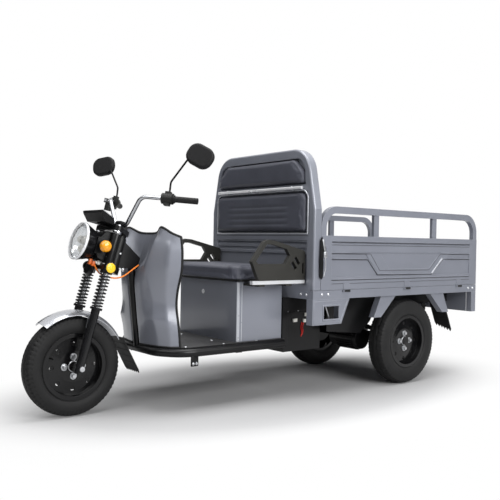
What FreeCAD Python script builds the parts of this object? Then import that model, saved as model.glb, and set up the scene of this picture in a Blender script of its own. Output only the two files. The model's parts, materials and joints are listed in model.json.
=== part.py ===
import FreeCAD, Part
import math
import operator
import os
import types

import Sketcher
from FreeCAD import Placement, Rotation, Vector

# Driving sizes in millimetres and degrees: heights above the ground, reaches ahead of the rear axle
SIZES = {
    # Stance
    "wheelbase": 2110,
    "rear_track": 796,
    # Fits shared by many pieces
    "run_gap": 0.05,
    "seat_gap": 0.3,
    "swing_gap": 3,
    "overrun": 5,
    # Tyres and rims
    "front_tyre_section": 100.5,
    "front_tyre_width": 108,
    "rear_tyre_section": 120.5,
    "rear_tyre_width": 124,
    "groove_width": 6,
    "bead_diameter": 305,
    "flange_height": 16,
    "front_rim_width": 82,
    "rear_rim_width": 96,
    "rim_sheet": 4,
    "disc_offset": 10,
    "disc_dish": 8,
    "drum_radius": 78,
    "cap_radius": 26,
    "cap_length": 16,
    "nut_circle": 98,
    "nut_radius": 10,
    "nut_length": 13,
    "vent_radius": 11,
    # Front fork, measured along and across its legs from the front axle
    "rake": 16,
    "fork_offset": 77,
    "fork_spacing": 194,
    "stanchion_radius": 15,
    "stanchion_base": 180,
    "slider_radius": 22,
    "slider_top": 300,
    "slider_foot": 28,
    "slider_bore_floor": 95,
    "collar_radius": 31,
    "collar_height": 12,
    "spring_radius": 25,
    "spring_wire": 4,
    "spring_cap": 16,
    "head_base": 536,
    "head_length": 164,
    "head_radius": 32,
    "stem_radius": 14,
    "bearing_gap": 1,
    "lower_clamp_depth": 30,
    "top_clamp_depth": 26,
    "clamp_margin": 25,
    "bearing_nut_radius": 27,
    "bearing_nut_height": 15,
    "front_axle_radius": 8,
    "axle_nut_radius": 13,
    "axle_nut_length": 12,
    "front_hub_half": 44,
    # Neck of the frame
    "gusset_length": 130,
    "gusset_half": 26,
    "down_tube_radius": 20,
    "down_tube_setback": 98,
    "down_tube_rise": 54,
    # Front mudguard and flap
    "mudguard_gap": 33,
    "mudguard_half": 70,
    "mudguard_crown": 24,
    "mudguard_sheet": 3,
    "mudguard_front_angle": 36,
    "mudguard_rear_angle": 136,
    "stay_width": 30,
    "stay_height": 60,
    "front_flap_length": 214,
    "front_flap_top_half": 58,
    "front_flap_low_half": 74,
    "flap_sheet": 5,
    # Handlebar
    "bar_radius": 11,
    "bar_wall": 2,
    "bar_foot_setback": 60,
    "bar_foot_rise": 22,
    "bar_foot_half": 55,
    "bar_bend_setback": 40,
    "bar_bend_rise": 172,
    "bar_bend_half": 172,
    "bar_end_setback": 225,
    "bar_end_rise": 200,
    "bar_end_half": 408,
    "bar_bend_radius": 55,
    "bar_block_half": 30,
    "bar_block_length": 44,
    "bar_block_height": 42,
    "grip_length": 130,
    "grip_radius": 16,
    "grip_flange": 21,
    "grip_flange_length": 8,
    "housing_length": 58,
    "housing_radius": 28,
    "lever_reach": 54,
    "lever_length": 165,
    "lever_half": 6,
    "lever_pin_radius": 4,
    "perch_half": 16,
    "reservoir_radius": 20,
    "reservoir_height": 44,
    "button_radius": 8,
    "button_length": 9,
    # Mirrors
    "mirror_width": 140,
    "mirror_height": 112,
    "mirror_depth": 26,
    "mirror_corner": 48,
    "mirror_roll": 18,
    "mirror_left_yaw": 42,
    "mirror_right_yaw": 30,
    "mirror_stem_radius": 5,
    "mirror_stem_rise": 50,
    "mirror_tilt": 8,
    "mirror_lift": 126,
    "mirror_reach": 530,
    "mirror_bend": 26,
    # Headlight, instruments and signals
    "lamp_ahead": 153,
    "lamp_rise": 82,
    "lamp_radius": 99,
    "lamp_depth": 116,
    "lamp_wall": 3,
    "lens_depth": 16,
    "lens_sheet": 4,
    "lamp_plate": 4,
    "lamp_plate_length": 99,
    "lamp_plate_height": 86,
    "pod_front": 119,
    "pod_length": 100,
    "pod_height": 50,
    "pod_front_half": 113,
    "pod_rear_half": 80,
    "pod_bracket_half": 20,
    "signal_ahead": 55,
    "signal_radius": 30,
    "signal_depth": 38,
    "signal_stalk": 30,
    "signal_stalk_radius": 8,
    "reflector_radius": 27,
    "reflector_depth": 12,
    "horn_radius": 42,
    "horn_depth": 32,
    "key_barrel_radius": 14,
    "key_barrel_height": 20,
    "key_radius": 6,
    "key_blade": 30,
    "key_sheet": 4,
    # Foot floor
    "hoop_setback": 380,
    "hoop_radius": 22,
    "hoop_wall": 3,
    "hoop_half": 310,
    "hoop_front_half": 190,
    "hoop_shoulder": 92,
    "hoop_bend": 140,
    "hoop_ahead": 57,
    "floor_height": 341,
    "floor_sheet": 4,
    "floor_margin": 14,
    # Chassis
    "rail_half": 267,
    "rail_width": 40,
    "low_rail_depth": 50,
    "high_rail_depth": 80,
    "upright_ahead": 7,
    "upright_length": 40,
    "cross_width": 40,
    "rail_tail": 640,
    # Leg shield
    "shield_setback": 470,
    "shield_depth": 145,
    "shield_height": 640,
    "shield_half": 287,
    "shield_sheet": 5,
    # Seat
    "box_ahead": 382,
    "box_length": 329,
    "box_half": 283,
    "box_height": 334,
    "box_sheet": 3,
    "box_rim": 18,
    "lid_gap": 2,
    "pan_depth": 13,
    "pan_half": 300,
    "hinge_barrel": 9,
    "hinge_pin": 5,
    "seat_hinge_half": 180,
    "seat_hinge_length": 50,
    "seat_clear": 64,
    "seat_length": 373,
    "seat_half": 325,
    "seat_depth": 79,
    "seat_corner": 55,
    "seat_draw": 12,
    "lock_offset": 39,
    "lock_drop": 71,
    "lock_radius": 10,
    "lock_length": 22,
    "arm_y": 407,
    "arm_width": 26,
    "arm_length": 388,
    "arm_height": 224,
    "arm_bar_height": 20,
    "arm_bar_width": 22,
    "arm_bar_length": 382,
    "arm_bracket_width": 40,
    "arm_bracket_depth": 12,
    # Headboard and pads
    "headboard_reach": 893,
    "headboard_depth": 56,
    "headboard_height": 1441,
    "headboard_top_half": 420,
    "headboard_waist": 1090,
    "headboard_corner": 150,
    "headboard_edge": 12,
    "pad_recess": 22,
    "panel_recess": 14,
    "web": 9,
    "upper_pad_low": 1236,
    "upper_pad_high": 1381,
    "upper_pad_half": 408,
    "lower_pad_low": 959,
    "lower_pad_high": 1191,
    "lower_pad_half": 424,
    "pad_clear": 4,
    "pad_depth": 40,
    "pad_corner": 40,
    "pad_draw": 26,
    "channel_radius": 4,
    "panel_low": 656,
    "panel_high": 905,
    "panel_half": 432,
    "grab_radius": 9,
    "grab_standoff": 18,
    "grab_height": 1213,
    "grab_half": 400,
    # Cargo bed
    "bed_width": 980,
    "bed_floor_height": 627,
    "sill_depth": 50,
    "sill_width": 24,
    "bed_sheet": 2,
    "bed_deck": 2,
    "bed_rib_width": 50,
    "tail_reach": 690,
    "gate_depth": 34,
    "gate_height": 313,
    "gate_lift": 2,
    "gate_stile": 84,
    "gate_top_band": 30,
    "gate_low_band": 52,
    "gate_press": 6,
    "gate_skin": 4,
    "gate_rail_rise": 170,
    "gate_rail_height": 40,
    "gate_rail_width": 30,
    "gate_rail_bend": 105,
    "gate_post_width": 44,
    "gate_hinge_out": 7,
    "gate_hinge_drop": 5,
    "gate_barrel": 6,
    "gate_pin": 3,
    "gate_barrel_length": 50,
    "gate_ear": 8,
    "gate_strap": 36,
    # Latches
    "latch_inset": 22,
    "latch_drop": 62,
    "latch_pin": 5,
    "latch_head": 9,
    "latch_head_depth": 4,
    "latch_spacer": 7,
    "latch_sheet": 8,
    "latch_length": 240,
    "latch_width": 26,
    "latch_arm": 44,
    # Under the bed
    "board_reach": 640,
    "board_sheet": 4,
    "board_low": 438,
    "board_half": 446,
    "corner_post": 40,
    "tail_lamp_length": 150,
    "tail_lamp_height": 66,
    "tail_lamp_depth": 24,
    "tail_lamp_half": 330,
    "step_ahead": 2,
    "step_length": 298,
    "step_height": 146,
    "step_depth": 50,
    "step_sheet": 4,
    "stay_front": 155,
    "stay_rear": 193,
    "stay_length": 143,
    "stay_drop": 130,
    "stay_depth": 44,
    "stay_y": 430,
    "rear_flap_length": 190,
    "rear_flap_half": 62,
    # Power
    "battery_ahead": 3,
    "battery_length": 300,
    "battery_half": 246,
    "battery_low": 250,
    "battery_height": 246,
    "battery_wall": 4,
    "battery_gap": 4,
    "controller_length": 150,
    "controller_width": 220,
    "controller_height": 70,
    # Rear axle
    "axle_tube_radius": 32,
    "axle_half": 343,
    "plate_radius": 92,
    "plate_sheet": 6,
    "spindle_radius": 15,
    "spindle_length": 88,
    "diff_radius": 96,
    "diff_half": 62,
    "motor_ahead": 176,
    "motor_radius": 66,
    "motor_fin": 9,
    "motor_fin_sheet": 4,
    "motor_length": 196,
    "gear_case_half": 20,
    "leaf_length": 720,
    "hanger_drop": 36,
    "leaf_sheet": 8,
    "leaf_width": 50,
    "leaf_eye": 14,
    "leaf_pin": 8,
    "spring_seat": 14,
    "hanger_sheet": 6,
    "u_bolt_radius": 5,
    # Brake pedal
    "pedal_reach": 1600,
    "pedal_offset": 150,
    "pedal_pin": 6,
    "pedal_barrel": 11,
    "pedal_width": 24,
    "pedal_ear": 6,
    "pedal_height": 30,
    "pedal_arm": 95,
    "pedal_lean": 28,
    "pedal_pad_width": 74,
    "pedal_pad_length": 56,
    "pedal_pad_depth": 9,
    # Lead from the headlight to the leg shield
    "lead_radius": 4,
}

# Shares chosen by hand of the sizes that they follow
TREAD_SHARE = 0.8
TYRE_WALL_SHARE = 0.1
TREAD_DROP_SHARE = 0.11
GROOVE_DEPTH_SHARE = 0.045
BULGE_SHARE = 0.5
GROOVE_SHARES = (-0.32, 0.32)
MIRROR_HOLD_SHARES = (0.3, 0.16)
VENT_COUNT = 8
NUT_COUNT = 4
SPRING_TURNS = 10
FIN_COUNT = 28
LEAF_SHARES = (1, 0.72, 0.45)
LEAF_COUNT = len(LEAF_SHARES)
FLAP_TEETH = 7
CHANNEL_SHARES = (0.2, 0.35, 0.5, 0.65, 0.8)
BED_RIB_SHARES = (0.128, 0.331, 0.54, 0.743, 0.946)
GATE_HINGE_SHARES = (0.135, 0.5, 0.865)
TAILGATE_HINGE_SHARES = (0.18, 0.82)
GATE_POST_SHARES = (0.313, 0.69)
BATTERY_SHARES = (0, 0.25, 0.5, 0.75)
GUSSET_SHARES = ((0.02, 0.94), (0.2, 0.88), (1, 0.56), (1, 0.2), (0.3, 0.06), (0.02, 0.06))
POD_SIDE_SHARES = ((0, 0.06), (0.1, 0.62), (1, 1), (0.96, 0.74), (0.66, 0), (0.02, 0))
ARM_SHARES = (
    (0, 0), (0.86, 0), (0.9, 0.09), (1, 0.47), (0.79, 0.94), (0.72, 1), (0.6, 0.985), (0.03, 0.75), (0, 0.7),
)
ARM_WINDOW_SHARES = (
    (0.38, 0.41), (0.885, 0.41), (0.93, 0.475), (0.735, 0.885), (0.62, 0.885), (0.36, 0.775), (0.3, 0.62),
)
ARM_SLOT_SHARES = (
    ((0.16, 0.3), (0.21, 0.25), (0.28, 0.42), (0.24, 0.48)),
    ((0.1, 0.42), (0.14, 0.37), (0.22, 0.54), (0.18, 0.6)),
    ((0.03, 0.16), (0.06, 0.16), (0.06, 0.42), (0.03, 0.42)),
)
UPPER_PAD_SHARES = ((1, 0), (0.985, 0.42), (0.78, 1))
UPPER_PAD_ROUND_SHARE = (0.93, 0.86)
LATCH_SHARES = (
    (0.5, 1), (0.72, 0.9), (0.72, 0.78), (1.7, 0.78), (1.7, 0.66), (0.72, 0.62), (1, 0.4), (0.9, 0.05),
    (0.5, 0), (0.1, 0.05), (0, 0.4), (0.12, 0.9),
)
STEP_SHARES = ((1, 0), (0.22, 0), (0, 0.97), (0, 1), (1, 1))
STEP_WINDOW_SHARES = ((0.3, 0.22), (0.7, 0.22), (0.7, 0.71), (0.3, 0.71))
STAY_LEAN_SHARE = 0.42
GATE_BADGE_SHARES = ((0.215, 0.84), (0.29, 0.16), (0.60, 0.16), (0.675, 0.84))
# Leg shield rows from floor to top: level, then forward and outward shares from the channel to the outer edge
SHIELD_SHARES = (
    (0, (0.45, 0.1), (0.7, 0.13), (0.66, 0.35), (0.51, 0.63), (0.28, 0.85), (0, 0.975)),
    (0.144, (0.51, 0.1), (0.77, 0.13), (0.73, 0.35), (0.57, 0.63), (0.29, 0.84), (0, 0.935)),
    (0.333, (0.59, 0.1), (0.87, 0.13), (0.81, 0.33), (0.64, 0.575), (0.365, 0.75), (0.03, 0.83)),
    (0.484, (0.65, 0.1), (0.95, 0.13), (0.9, 0.33), (0.76, 0.575), (0.45, 0.8), (0.03, 0.885)),
    (0.612, (0.61, 0.1), (0.985, 0.13), (0.95, 0.33), (0.86, 0.56), (0.52, 0.84), (0, 0.995)),
    (0.767, (0.5, 0.1), (0.565, 0.13), (0.655, 0.33), (0.79, 0.575), (0.5, 0.84), (0, 1)),
    (0.925, (0.345, 0.1), (0.37, 0.13), (0.385, 0.33), (0.52, 0.595), (0.345, 0.82), (0, 0.935)),
    (1.006, (0.22, 0.1), (0.245, 0.13), (0.26, 0.33), (0.39, 0.6), (0.25, 0.795), (0, 0.87)),
)
SHIELD_TOP_SHARES = ((0, 0.925), (0.35, 0.925), (0.617, 1), (0.944, 0.895), (1.1, 0.8))
# Cushion rows from back to crown: rise share, then inset as a share of the draw
CUSHION_SHARES = ((0, 0.5), (0.14, 0.05), (0.45, 0), (0.72, 0.35), (0.9, 1.3), (1, 3.2))
BACK_PAD_SHARES = ((0, 0), (0.5, 0), (0.72, 0.12), (0.88, 0.45), (1, 1))

OPERATIONS = {"+": operator.add, "-": operator.sub, "*": operator.mul, "/": operator.truediv}


class Size:
    """A length kept both as a sheet expression and as its present value."""

    def __init__(self, text, value):
        self.text = text
        self.value = value

    def __add__(self, other):
        return combined(self, "+", other)

    def __radd__(self, other):
        return combined(other, "+", self)

    def __sub__(self, other):
        return combined(self, "-", other)

    def __rsub__(self, other):
        return combined(other, "-", self)

    def __mul__(self, other):
        return combined(self, "*", other)

    def __rmul__(self, other):
        return combined(other, "*", self)

    def __truediv__(self, other):
        return combined(self, "/", other)

    def __neg__(self):
        return combined(0, "-", self)


class Via:
    """A point that the round stretch between two corners of an outline passes through."""

    def __init__(self, x, y):
        self.point = (x, y)


class Disc:
    """A full circle of an outline."""

    def __init__(self, x, y, radius):
        self.point = (x, y)
        self.radius = radius


def sized(item):
    return item if isinstance(item, Size) else Size(repr(float(item)), float(item))


def combined(left, sign, right):
    first = sized(left)
    second = sized(right)
    value = OPERATIONS[sign](first.value, second.value)
    return Size(f"({first.text} {sign} {second.text})", value)


doc = FreeCAD.newDocument("cargo_tricycle")
sheet = doc.addObject("Spreadsheet::Sheet", "dims")
for row, (alias, number) in enumerate(SIZES.items(), start=1):
    sheet.set(f"A{row}", alias)
    sheet.set(f"B{row}", str(number))
    sheet.setAlias(f"B{row}", alias)
doc.recompute()
d = types.SimpleNamespace(**{alias: Size(f"dims.{alias}", number) for alias, number in SIZES.items()})

zero = sized(0)
bed_half = d.bed_width / 2
front_tyre_diameter = d.bead_diameter + d.front_tyre_section * 2
rear_tyre_diameter = d.bead_diameter + d.rear_tyre_section * 2
front_axle_z = front_tyre_diameter / 2
rear_axle_z = rear_tyre_diameter / 2
# The origin lies midway between the front of the front tyre and the rearmost latch
latch_standoff = d.latch_spacer + d.latch_sheet + d.seat_gap + d.latch_head_depth
rear_x = (d.tail_reach + latch_standoff - d.wheelbase - front_axle_z) / 2
front_x = rear_x + d.wheelbase
leg_y = d.fork_spacing / 2
head_top = d.head_base + d.head_length
clamp_low = d.head_base - d.bearing_gap - d.lower_clamp_depth
clamp_base = head_top + d.bearing_nut_height + d.bearing_gap
clamp_top = clamp_base + d.top_clamp_depth
sill_low = d.bed_floor_height - d.sill_depth
gate_low = d.bed_floor_height + d.gate_lift
gate_top = gate_low + d.gate_height
hoop_x = front_x - d.hoop_setback
hoop_z = d.floor_height - d.floor_sheet - d.seat_gap - d.hoop_radius
box_top = d.floor_height + d.box_height
pan_low = box_top + d.lid_gap
seat_low = pan_low + d.pan_depth
lamp_height = d.head_base + d.lamp_rise

TURN_TO = {"x": Rotation(Vector(0, 1, 0), 90), "y": Rotation(Vector(1, 0, 0), -90), "z": Rotation()}
NORMAL_SIGN = {"XY_Plane": 1, "YZ_Plane": 1, "XZ_Plane": -1}


def ahead(reach):
    return rear_x + reach


def past_headboard(distance):
    return ahead(d.headboard_reach + distance)


def bind(item, name, size):
    item.setExpression(name, sized(size).text)


def locate(item, x, y, z, rotation=Rotation()):
    item.Placement = Placement(Vector(sized(x).value, sized(y).value, sized(z).value), rotation)
    for axis, size in zip("xyz", (x, y, z)):
        bind(item, f"Placement.Base.{axis}", size)
    return item


def block(name, x, y, z):
    box = doc.addObject("Part::Box", name)
    for side, (low, high) in zip(("Length", "Width", "Height"), (x, y, z)):
        bind(box, side, high - low)
    return locate(box, x[0], y[0], z[0])


def rod(name, radius, start, length, along="z"):
    cylinder = doc.addObject("Part::Cylinder", name)
    bind(cylinder, "Radius", radius)
    bind(cylinder, "Height", length)
    return locate(cylinder, *start, TURN_TO[along])


def fuse(name, *shapes):
    joined = doc.addObject("Part::MultiFuse", name)
    joined.Shapes = list(shapes)
    return joined


def cut(name, base, *tools):
    tool = tools[0] if len(tools) == 1 else fuse(f"{name}_tools", *tools)
    result = doc.addObject("Part::Cut", name)
    result.Base = base
    result.Tool = tool
    return result


def common(name, first, second):
    result = doc.addObject("Part::Common", name)
    result.Base = first
    result.Tool = second
    return result


def group(name, *shapes):
    compound = doc.addObject("Part::Compound", name)
    compound.Links = list(shapes)
    return compound


def mirrored(name, source):
    mirror = doc.addObject("Part::Mirroring", name)
    mirror.Source = source
    mirror.Normal = Vector(0, 1, 0)
    return mirror


def pair(name, left):
    return group(name, left, mirrored(f"{name}_right_side", left))


def feature(name, shape):
    item = doc.addObject("Part::Feature", name)
    item.Shape = shape
    return item


def in_fork(item):
    """Set a piece built along the fork legs at the front axle, leaned back by the rake."""
    item.Placement = Placement(Vector(), Rotation(Vector(0, 1, 0), d.rake.value))
    bind(item, "Placement.Base.x", front_x)
    bind(item, "Placement.Base.z", front_axle_z)
    bind(item, "Placement.Rotation.Angle", -d.rake)
    return item


def fork_point(u, y, w):
    """World point, as numbers, of a place given along and across the fork legs."""
    lean = Rotation(Vector(0, 1, 0), -d.rake.value)
    local = Vector(sized(u).value, sized(y).value, sized(w).value)
    return Vector(front_x.value, 0, front_axle_z.value) + lean.multVec(local)


def bound_point(sketch, geometry, position, place):
    for kind, size in zip(("DistanceX", "DistanceY"), place):
        constraint = Sketcher.Constraint(kind, -1, 1, geometry, position, sized(size).value)
        index = sketch.addConstraint(constraint)
        bind(sketch, f"Constraints[{index}]", size)


def draw_circle(sketch, disc):
    x, y = disc.point
    circle = Part.Circle(Vector(sized(x).value, sized(y).value, 0), Vector(0, 0, 1), sized(disc.radius).value)
    geometry = sketch.addGeometry(circle)
    bound_point(sketch, geometry, 3, disc.point)
    index = sketch.addConstraint(Sketcher.Constraint("Radius", geometry, sized(disc.radius).value))
    bind(sketch, f"Constraints[{index}]", disc.radius)


def draw_arc(sketch, start, via, end):
    """Add the arc turning anticlockwise and tell which of its ends come first and last on the outline."""
    middle = flat(via.point)
    anticlockwise = (middle - start).cross(end - middle).z > 0
    arc = Part.Arc(start, middle, end) if anticlockwise else Part.Arc(end, middle, start)
    geometry = sketch.addGeometry(arc)
    mark = sketch.addGeometry(Part.Point(middle), True)
    sketch.addConstraint(Sketcher.Constraint("PointOnObject", mark, 1, geometry))
    bound_point(sketch, mark, 1, via.point)
    return (geometry, 1, 2) if anticlockwise else (geometry, 2, 1)


def flat(place):
    return Vector(sized(place[0]).value, sized(place[1]).value, 0)


def draw_outline(sketch, outline):
    corners = [item for item in outline if not isinstance(item, Via)]
    rounds = {}
    for index, item in enumerate(outline):
        if isinstance(item, Via):
            rounds[corners.index(outline[index - 1])] = item
    runs = []
    for index, corner in enumerate(corners):
        start = flat(corner)
        end = flat(corners[(index + 1) % len(corners)])
        if index in rounds:
            runs.append(draw_arc(sketch, start, rounds[index], end))
        else:
            runs.append((sketch.addGeometry(Part.LineSegment(start, end)), 1, 2))
    for index, (geometry, first, last) in enumerate(runs):
        following = runs[(index + 1) % len(runs)]
        sketch.addConstraint(Sketcher.Constraint("Coincident", geometry, last, following[0], following[1]))
        bound_point(sketch, geometry, first, corners[index])


def sketch_on(body, plane, offset, outlines):
    sketch = body.newObject("Sketcher::SketchObject", f"{body.Name}_sketch")
    support = [item for item in body.Origin.OriginFeatures if item.Role == plane][0]
    sketch.AttachmentSupport = [(support, "")]
    sketch.MapMode = "FlatFace"
    bind(sketch, "AttachmentOffset.Base.z", offset)
    for outline in outlines:
        if isinstance(outline, Disc):
            draw_circle(sketch, outline)
        else:
            draw_outline(sketch, outline)
    return sketch


def add_pad(body, plane, outlines, low, high):
    offset = low if NORMAL_SIGN[plane] > 0 else -high
    pad = body.newObject("PartDesign::Pad", f"{body.Name}_pad")
    pad.Profile = sketch_on(body, plane, offset, outlines)
    bind(pad, "Length", high - low)
    body.Tip = pad
    return pad


def add_pocket(body, plane, outlines, low, high):
    doc.recompute()
    before = body.Shape.Volume
    offset = high if NORMAL_SIGN[plane] > 0 else -low
    pocket = body.newObject("PartDesign::Pocket", f"{body.Name}_pocket")
    pocket.Profile = sketch_on(body, plane, offset, outlines)
    bind(pocket, "Length", high - low)
    body.Tip = pocket
    doc.recompute()
    if body.Shape.Volume >= before:
        raise RuntimeError(f"{pocket.Name} cuts nothing")
    return pocket


def slab(name, plane, outlines, low, high):
    body = doc.addObject("PartDesign::Body", name)
    add_pad(body, plane, outlines, low, high)
    return body


def turned(name, outline):
    body = doc.addObject("PartDesign::Body", name)
    revolution = body.newObject("PartDesign::Revolution", f"{name}_turn")
    sketch = sketch_on(body, "XZ_Plane", zero, [outline])
    revolution.Profile = sketch
    revolution.ReferenceAxis = (sketch, ["V_Axis"])
    revolution.Angle = 360
    body.Tip = revolution
    return body


def polar(body, original, count):
    pattern = body.newObject("PartDesign::PolarPattern", f"{body.Name}_polar")
    pattern.Originals = [original]
    pattern.Axis = (original.Profile[0], ["N_Axis"])
    pattern.Angle = 360
    pattern.Occurrences = count
    body.Tip = pattern
    return pattern


def round_edges(body, radius, wanted):
    doc.recompute()
    base = body.Tip
    names = [f"Edge{index}" for index, edge in enumerate(base.Shape.Edges, start=1) if wanted(edge)]
    fillet = body.newObject("PartDesign::Fillet", f"{body.Name}_fillet")
    fillet.Base = (base, names)
    bind(fillet, "Radius", radius)
    body.Tip = fillet


def runs_along(axis):
    """Test for straight edges that run along one axis."""
    def test(edge):
        lengths = {"x": edge.BoundBox.XLength, "y": edge.BoundBox.YLength, "z": edge.BoundBox.ZLength}
        others = [length for name, length in lengths.items() if name != axis]
        return max(others) < 1e-6 < lengths[axis]
    return test


def scaled(shares, x, length, y, height):
    return [(x + length * across, y + height * up) for across, up in shares]


def rectangle(x, y):
    return [(x[0], y[0]), (x[1], y[0]), (x[1], y[1]), (x[0], y[1])]


def vector(place):
    return Vector(*(sized(size).value for size in place))


def rounded_path(points, bend):
    """Straight runs through the points, joined by tangent arcs of one radius."""
    edges = []
    start = points[0]
    for before, corner, after in zip(points, points[1:], points[2:]):
        inward = (before - corner).normalize()
        outward = (after - corner).normalize()
        half_turn = inward.getAngle(outward) / 2
        setback = bend / math.tan(half_turn)
        bisector = (inward + outward).normalize()
        first = corner + inward * setback
        last = corner + outward * setback
        middle = corner + bisector * (bend / math.sin(half_turn) - bend)
        edges.append(Part.LineSegment(start, first).toShape())
        edges.append(Part.Arc(first, middle, last).toShape())
        start = last
    edges.append(Part.LineSegment(start, points[-1]).toShape())
    return Part.Wire(edges)


def swept_round(path, radius):
    start = path.Edges[0].firstVertex().Point
    ahead_of_start = path.Edges[0].tangentAt(path.Edges[0].FirstParameter)
    section = Part.Wire([Part.Circle(start, ahead_of_start, radius).toShape()])
    return path.makePipeShell([section], True, False)


def bent_tube(name, points, bend, radius, wall):
    path = rounded_path([vector(point) for point in points], bend.value)
    outer = swept_round(path, radius.value)
    return feature(name, outer.cut(swept_round(path, radius.value - wall.value)))


def lofted(name, wires):
    return feature(name, Part.makeLoft(wires, True, True))


def rounded_wire(plane, level, low, high, corner):
    """Closed wire of lines and quarter arcs between two corners of a plane at one level."""
    turn = corner * (1 - math.sqrt(0.5))
    corners = []
    for sx, sy in ((1, -1), (1, 1), (-1, 1), (-1, -1)):
        x = high[0] if sx > 0 else low[0]
        y = high[1] if sy > 0 else low[1]
        along_x = (x - sx * corner, y)
        along_y = (x, y - sy * corner)
        middle = (x - sx * turn, y - sy * turn)
        ends = (along_x, middle, along_y) if sx * sy < 0 else (along_y, middle, along_x)
        corners.append([plane(level, *place) for place in ends])
    edges = []
    for index, (first, middle, last) in enumerate(corners):
        edges.append(Part.Arc(first, middle, last).toShape())
        edges.append(Part.LineSegment(last, corners[(index + 1) % 4][0]).toShape())
    return Part.Wire(edges)


def lying(level, x, y):
    return Vector(x, y, level)


def standing(level, y, z):
    return Vector(level, y, z)


# Wheels
def tyre(name, diameter, width, rim_width):
    bead = d.bead_diameter / 2 + d.seat_gap
    flange = bead + d.flange_height
    side = rim_width / 2 - d.seat_gap
    section = diameter / 2 - bead
    shoulder = diameter / 2 - section * TREAD_DROP_SHARE
    tread = width * TREAD_SHARE / 2
    bulge = flange + (shoulder - flange) * BULGE_SHARE
    wall = section * TYRE_WALL_SHARE
    body = turned(name, [
        (bead, side), (flange, side), Via(bulge, width / 2), (shoulder, tread), Via(diameter / 2, zero),
        (shoulder, -tread), Via(bulge, -width / 2), (flange, -side), (bead, -side), (bead, wall - side),
        Via(bulge, wall - width / 2), (shoulder - wall, wall - tread), (shoulder - wall, tread - wall),
        Via(bulge, width / 2 - wall), (bead, side - wall),
    ])
    groove = body.newObject("PartDesign::Groove", f"{name}_groove")
    floor = diameter / 2 - section * GROOVE_DEPTH_SHARE
    sketch = sketch_on(body, "XZ_Plane", zero, [
        rectangle(
            (floor, diameter / 2 + d.overrun),
            (width * share - d.groove_width / 2, width * share + d.groove_width / 2),
        )
        for share in GROOVE_SHARES
    ])
    groove.Profile = sketch
    groove.ReferenceAxis = (sketch, ["V_Axis"])
    groove.Angle = 360
    body.Tip = groove
    return body


def rim(name, rim_width, hub_back, bore):
    half = rim_width / 2
    edge = half + d.rim_sheet
    bead = d.bead_diameter / 2
    flange = bead + d.flange_height
    inside = bead - d.rim_sheet
    face = d.disc_offset + d.disc_dish + d.rim_sheet
    body = turned(name, [
        (flange, half), (flange, edge), (inside, edge), (
            inside, d.disc_offset + d.rim_sheet,
        ), (d.drum_radius, face),
        (d.cap_radius, face), (
            d.cap_radius, face + d.cap_length,
        ), (bore, face + d.cap_length), (bore, -hub_back),
        (d.drum_radius, -hub_back), (
            d.drum_radius, face - d.rim_sheet,
        ), (inside, d.disc_offset), (inside, -edge),
        (flange, -edge), (flange, -half), (bead, -half), (bead, half),
    ])
    vent_circle = (d.drum_radius + inside) / 2
    vent = add_pocket(body, "XY_Plane", [Disc(vent_circle, zero, d.vent_radius)], zero, edge)
    polar(body, vent, VENT_COUNT)
    hexagon = [
        (
            d.nut_circle / 2 + d.nut_radius * math.cos(step * math.pi / 3),
            d.nut_radius * math.sin(step * math.pi / 3),
        )
        for step in range(6)
    ]
    nut = add_pad(body, "XY_Plane", [hexagon], face, face + d.nut_length)
    polar(body, nut, NUT_COUNT)
    return body


def wheel_place(item, x, y, z, outward):
    rotation = TURN_TO["y"] if outward > 0 else Rotation(Vector(1, 0, 0), 90)
    return locate(item, x, y, z, rotation)


def front_tyre():
    item = tyre("front_tyre", front_tyre_diameter, d.front_tyre_width, d.front_rim_width)
    return wheel_place(item, front_x, zero, front_axle_z, 1)


def front_rim():
    item = rim("front_rim", d.front_rim_width, d.front_hub_half, d.front_axle_radius + d.run_gap)
    return wheel_place(item, front_x, zero, front_axle_z, 1)


def rear_tyre(side, outward):
    item = tyre(f"rear_tyre_{side}", rear_tyre_diameter, d.rear_tyre_width, d.rear_rim_width)
    return wheel_place(item, rear_x, d.rear_track / 2 * outward, rear_axle_z, outward)


def rear_rim(side, outward):
    hub_back = d.rear_track / 2 - d.axle_half - d.plate_sheet - d.lid_gap
    item = rim(f"rear_rim_{side}", d.rear_rim_width, hub_back, d.spindle_radius + d.run_gap)
    return wheel_place(item, rear_x, d.rear_track / 2 * outward, rear_axle_z, outward)


# Front fork
def clamp_outline():
    margin = d.clamp_margin
    stem = -d.fork_offset
    return [
        (margin, leg_y), Via(zero, leg_y + margin), (-margin, leg_y), (stem - margin, margin), Via(
            stem - margin * 1.5, zero,
        ),
        (stem - margin, -margin), (-margin, -leg_y), Via(zero, -leg_y - margin), (margin, -leg_y),
    ]


def leg_holes(name, low, high):
    radius = d.stanchion_radius + d.run_gap
    return [rod(f"{name}_{side}", radius, (zero, leg_y * side, low), high - low) for side in (1, -1)]


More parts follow.
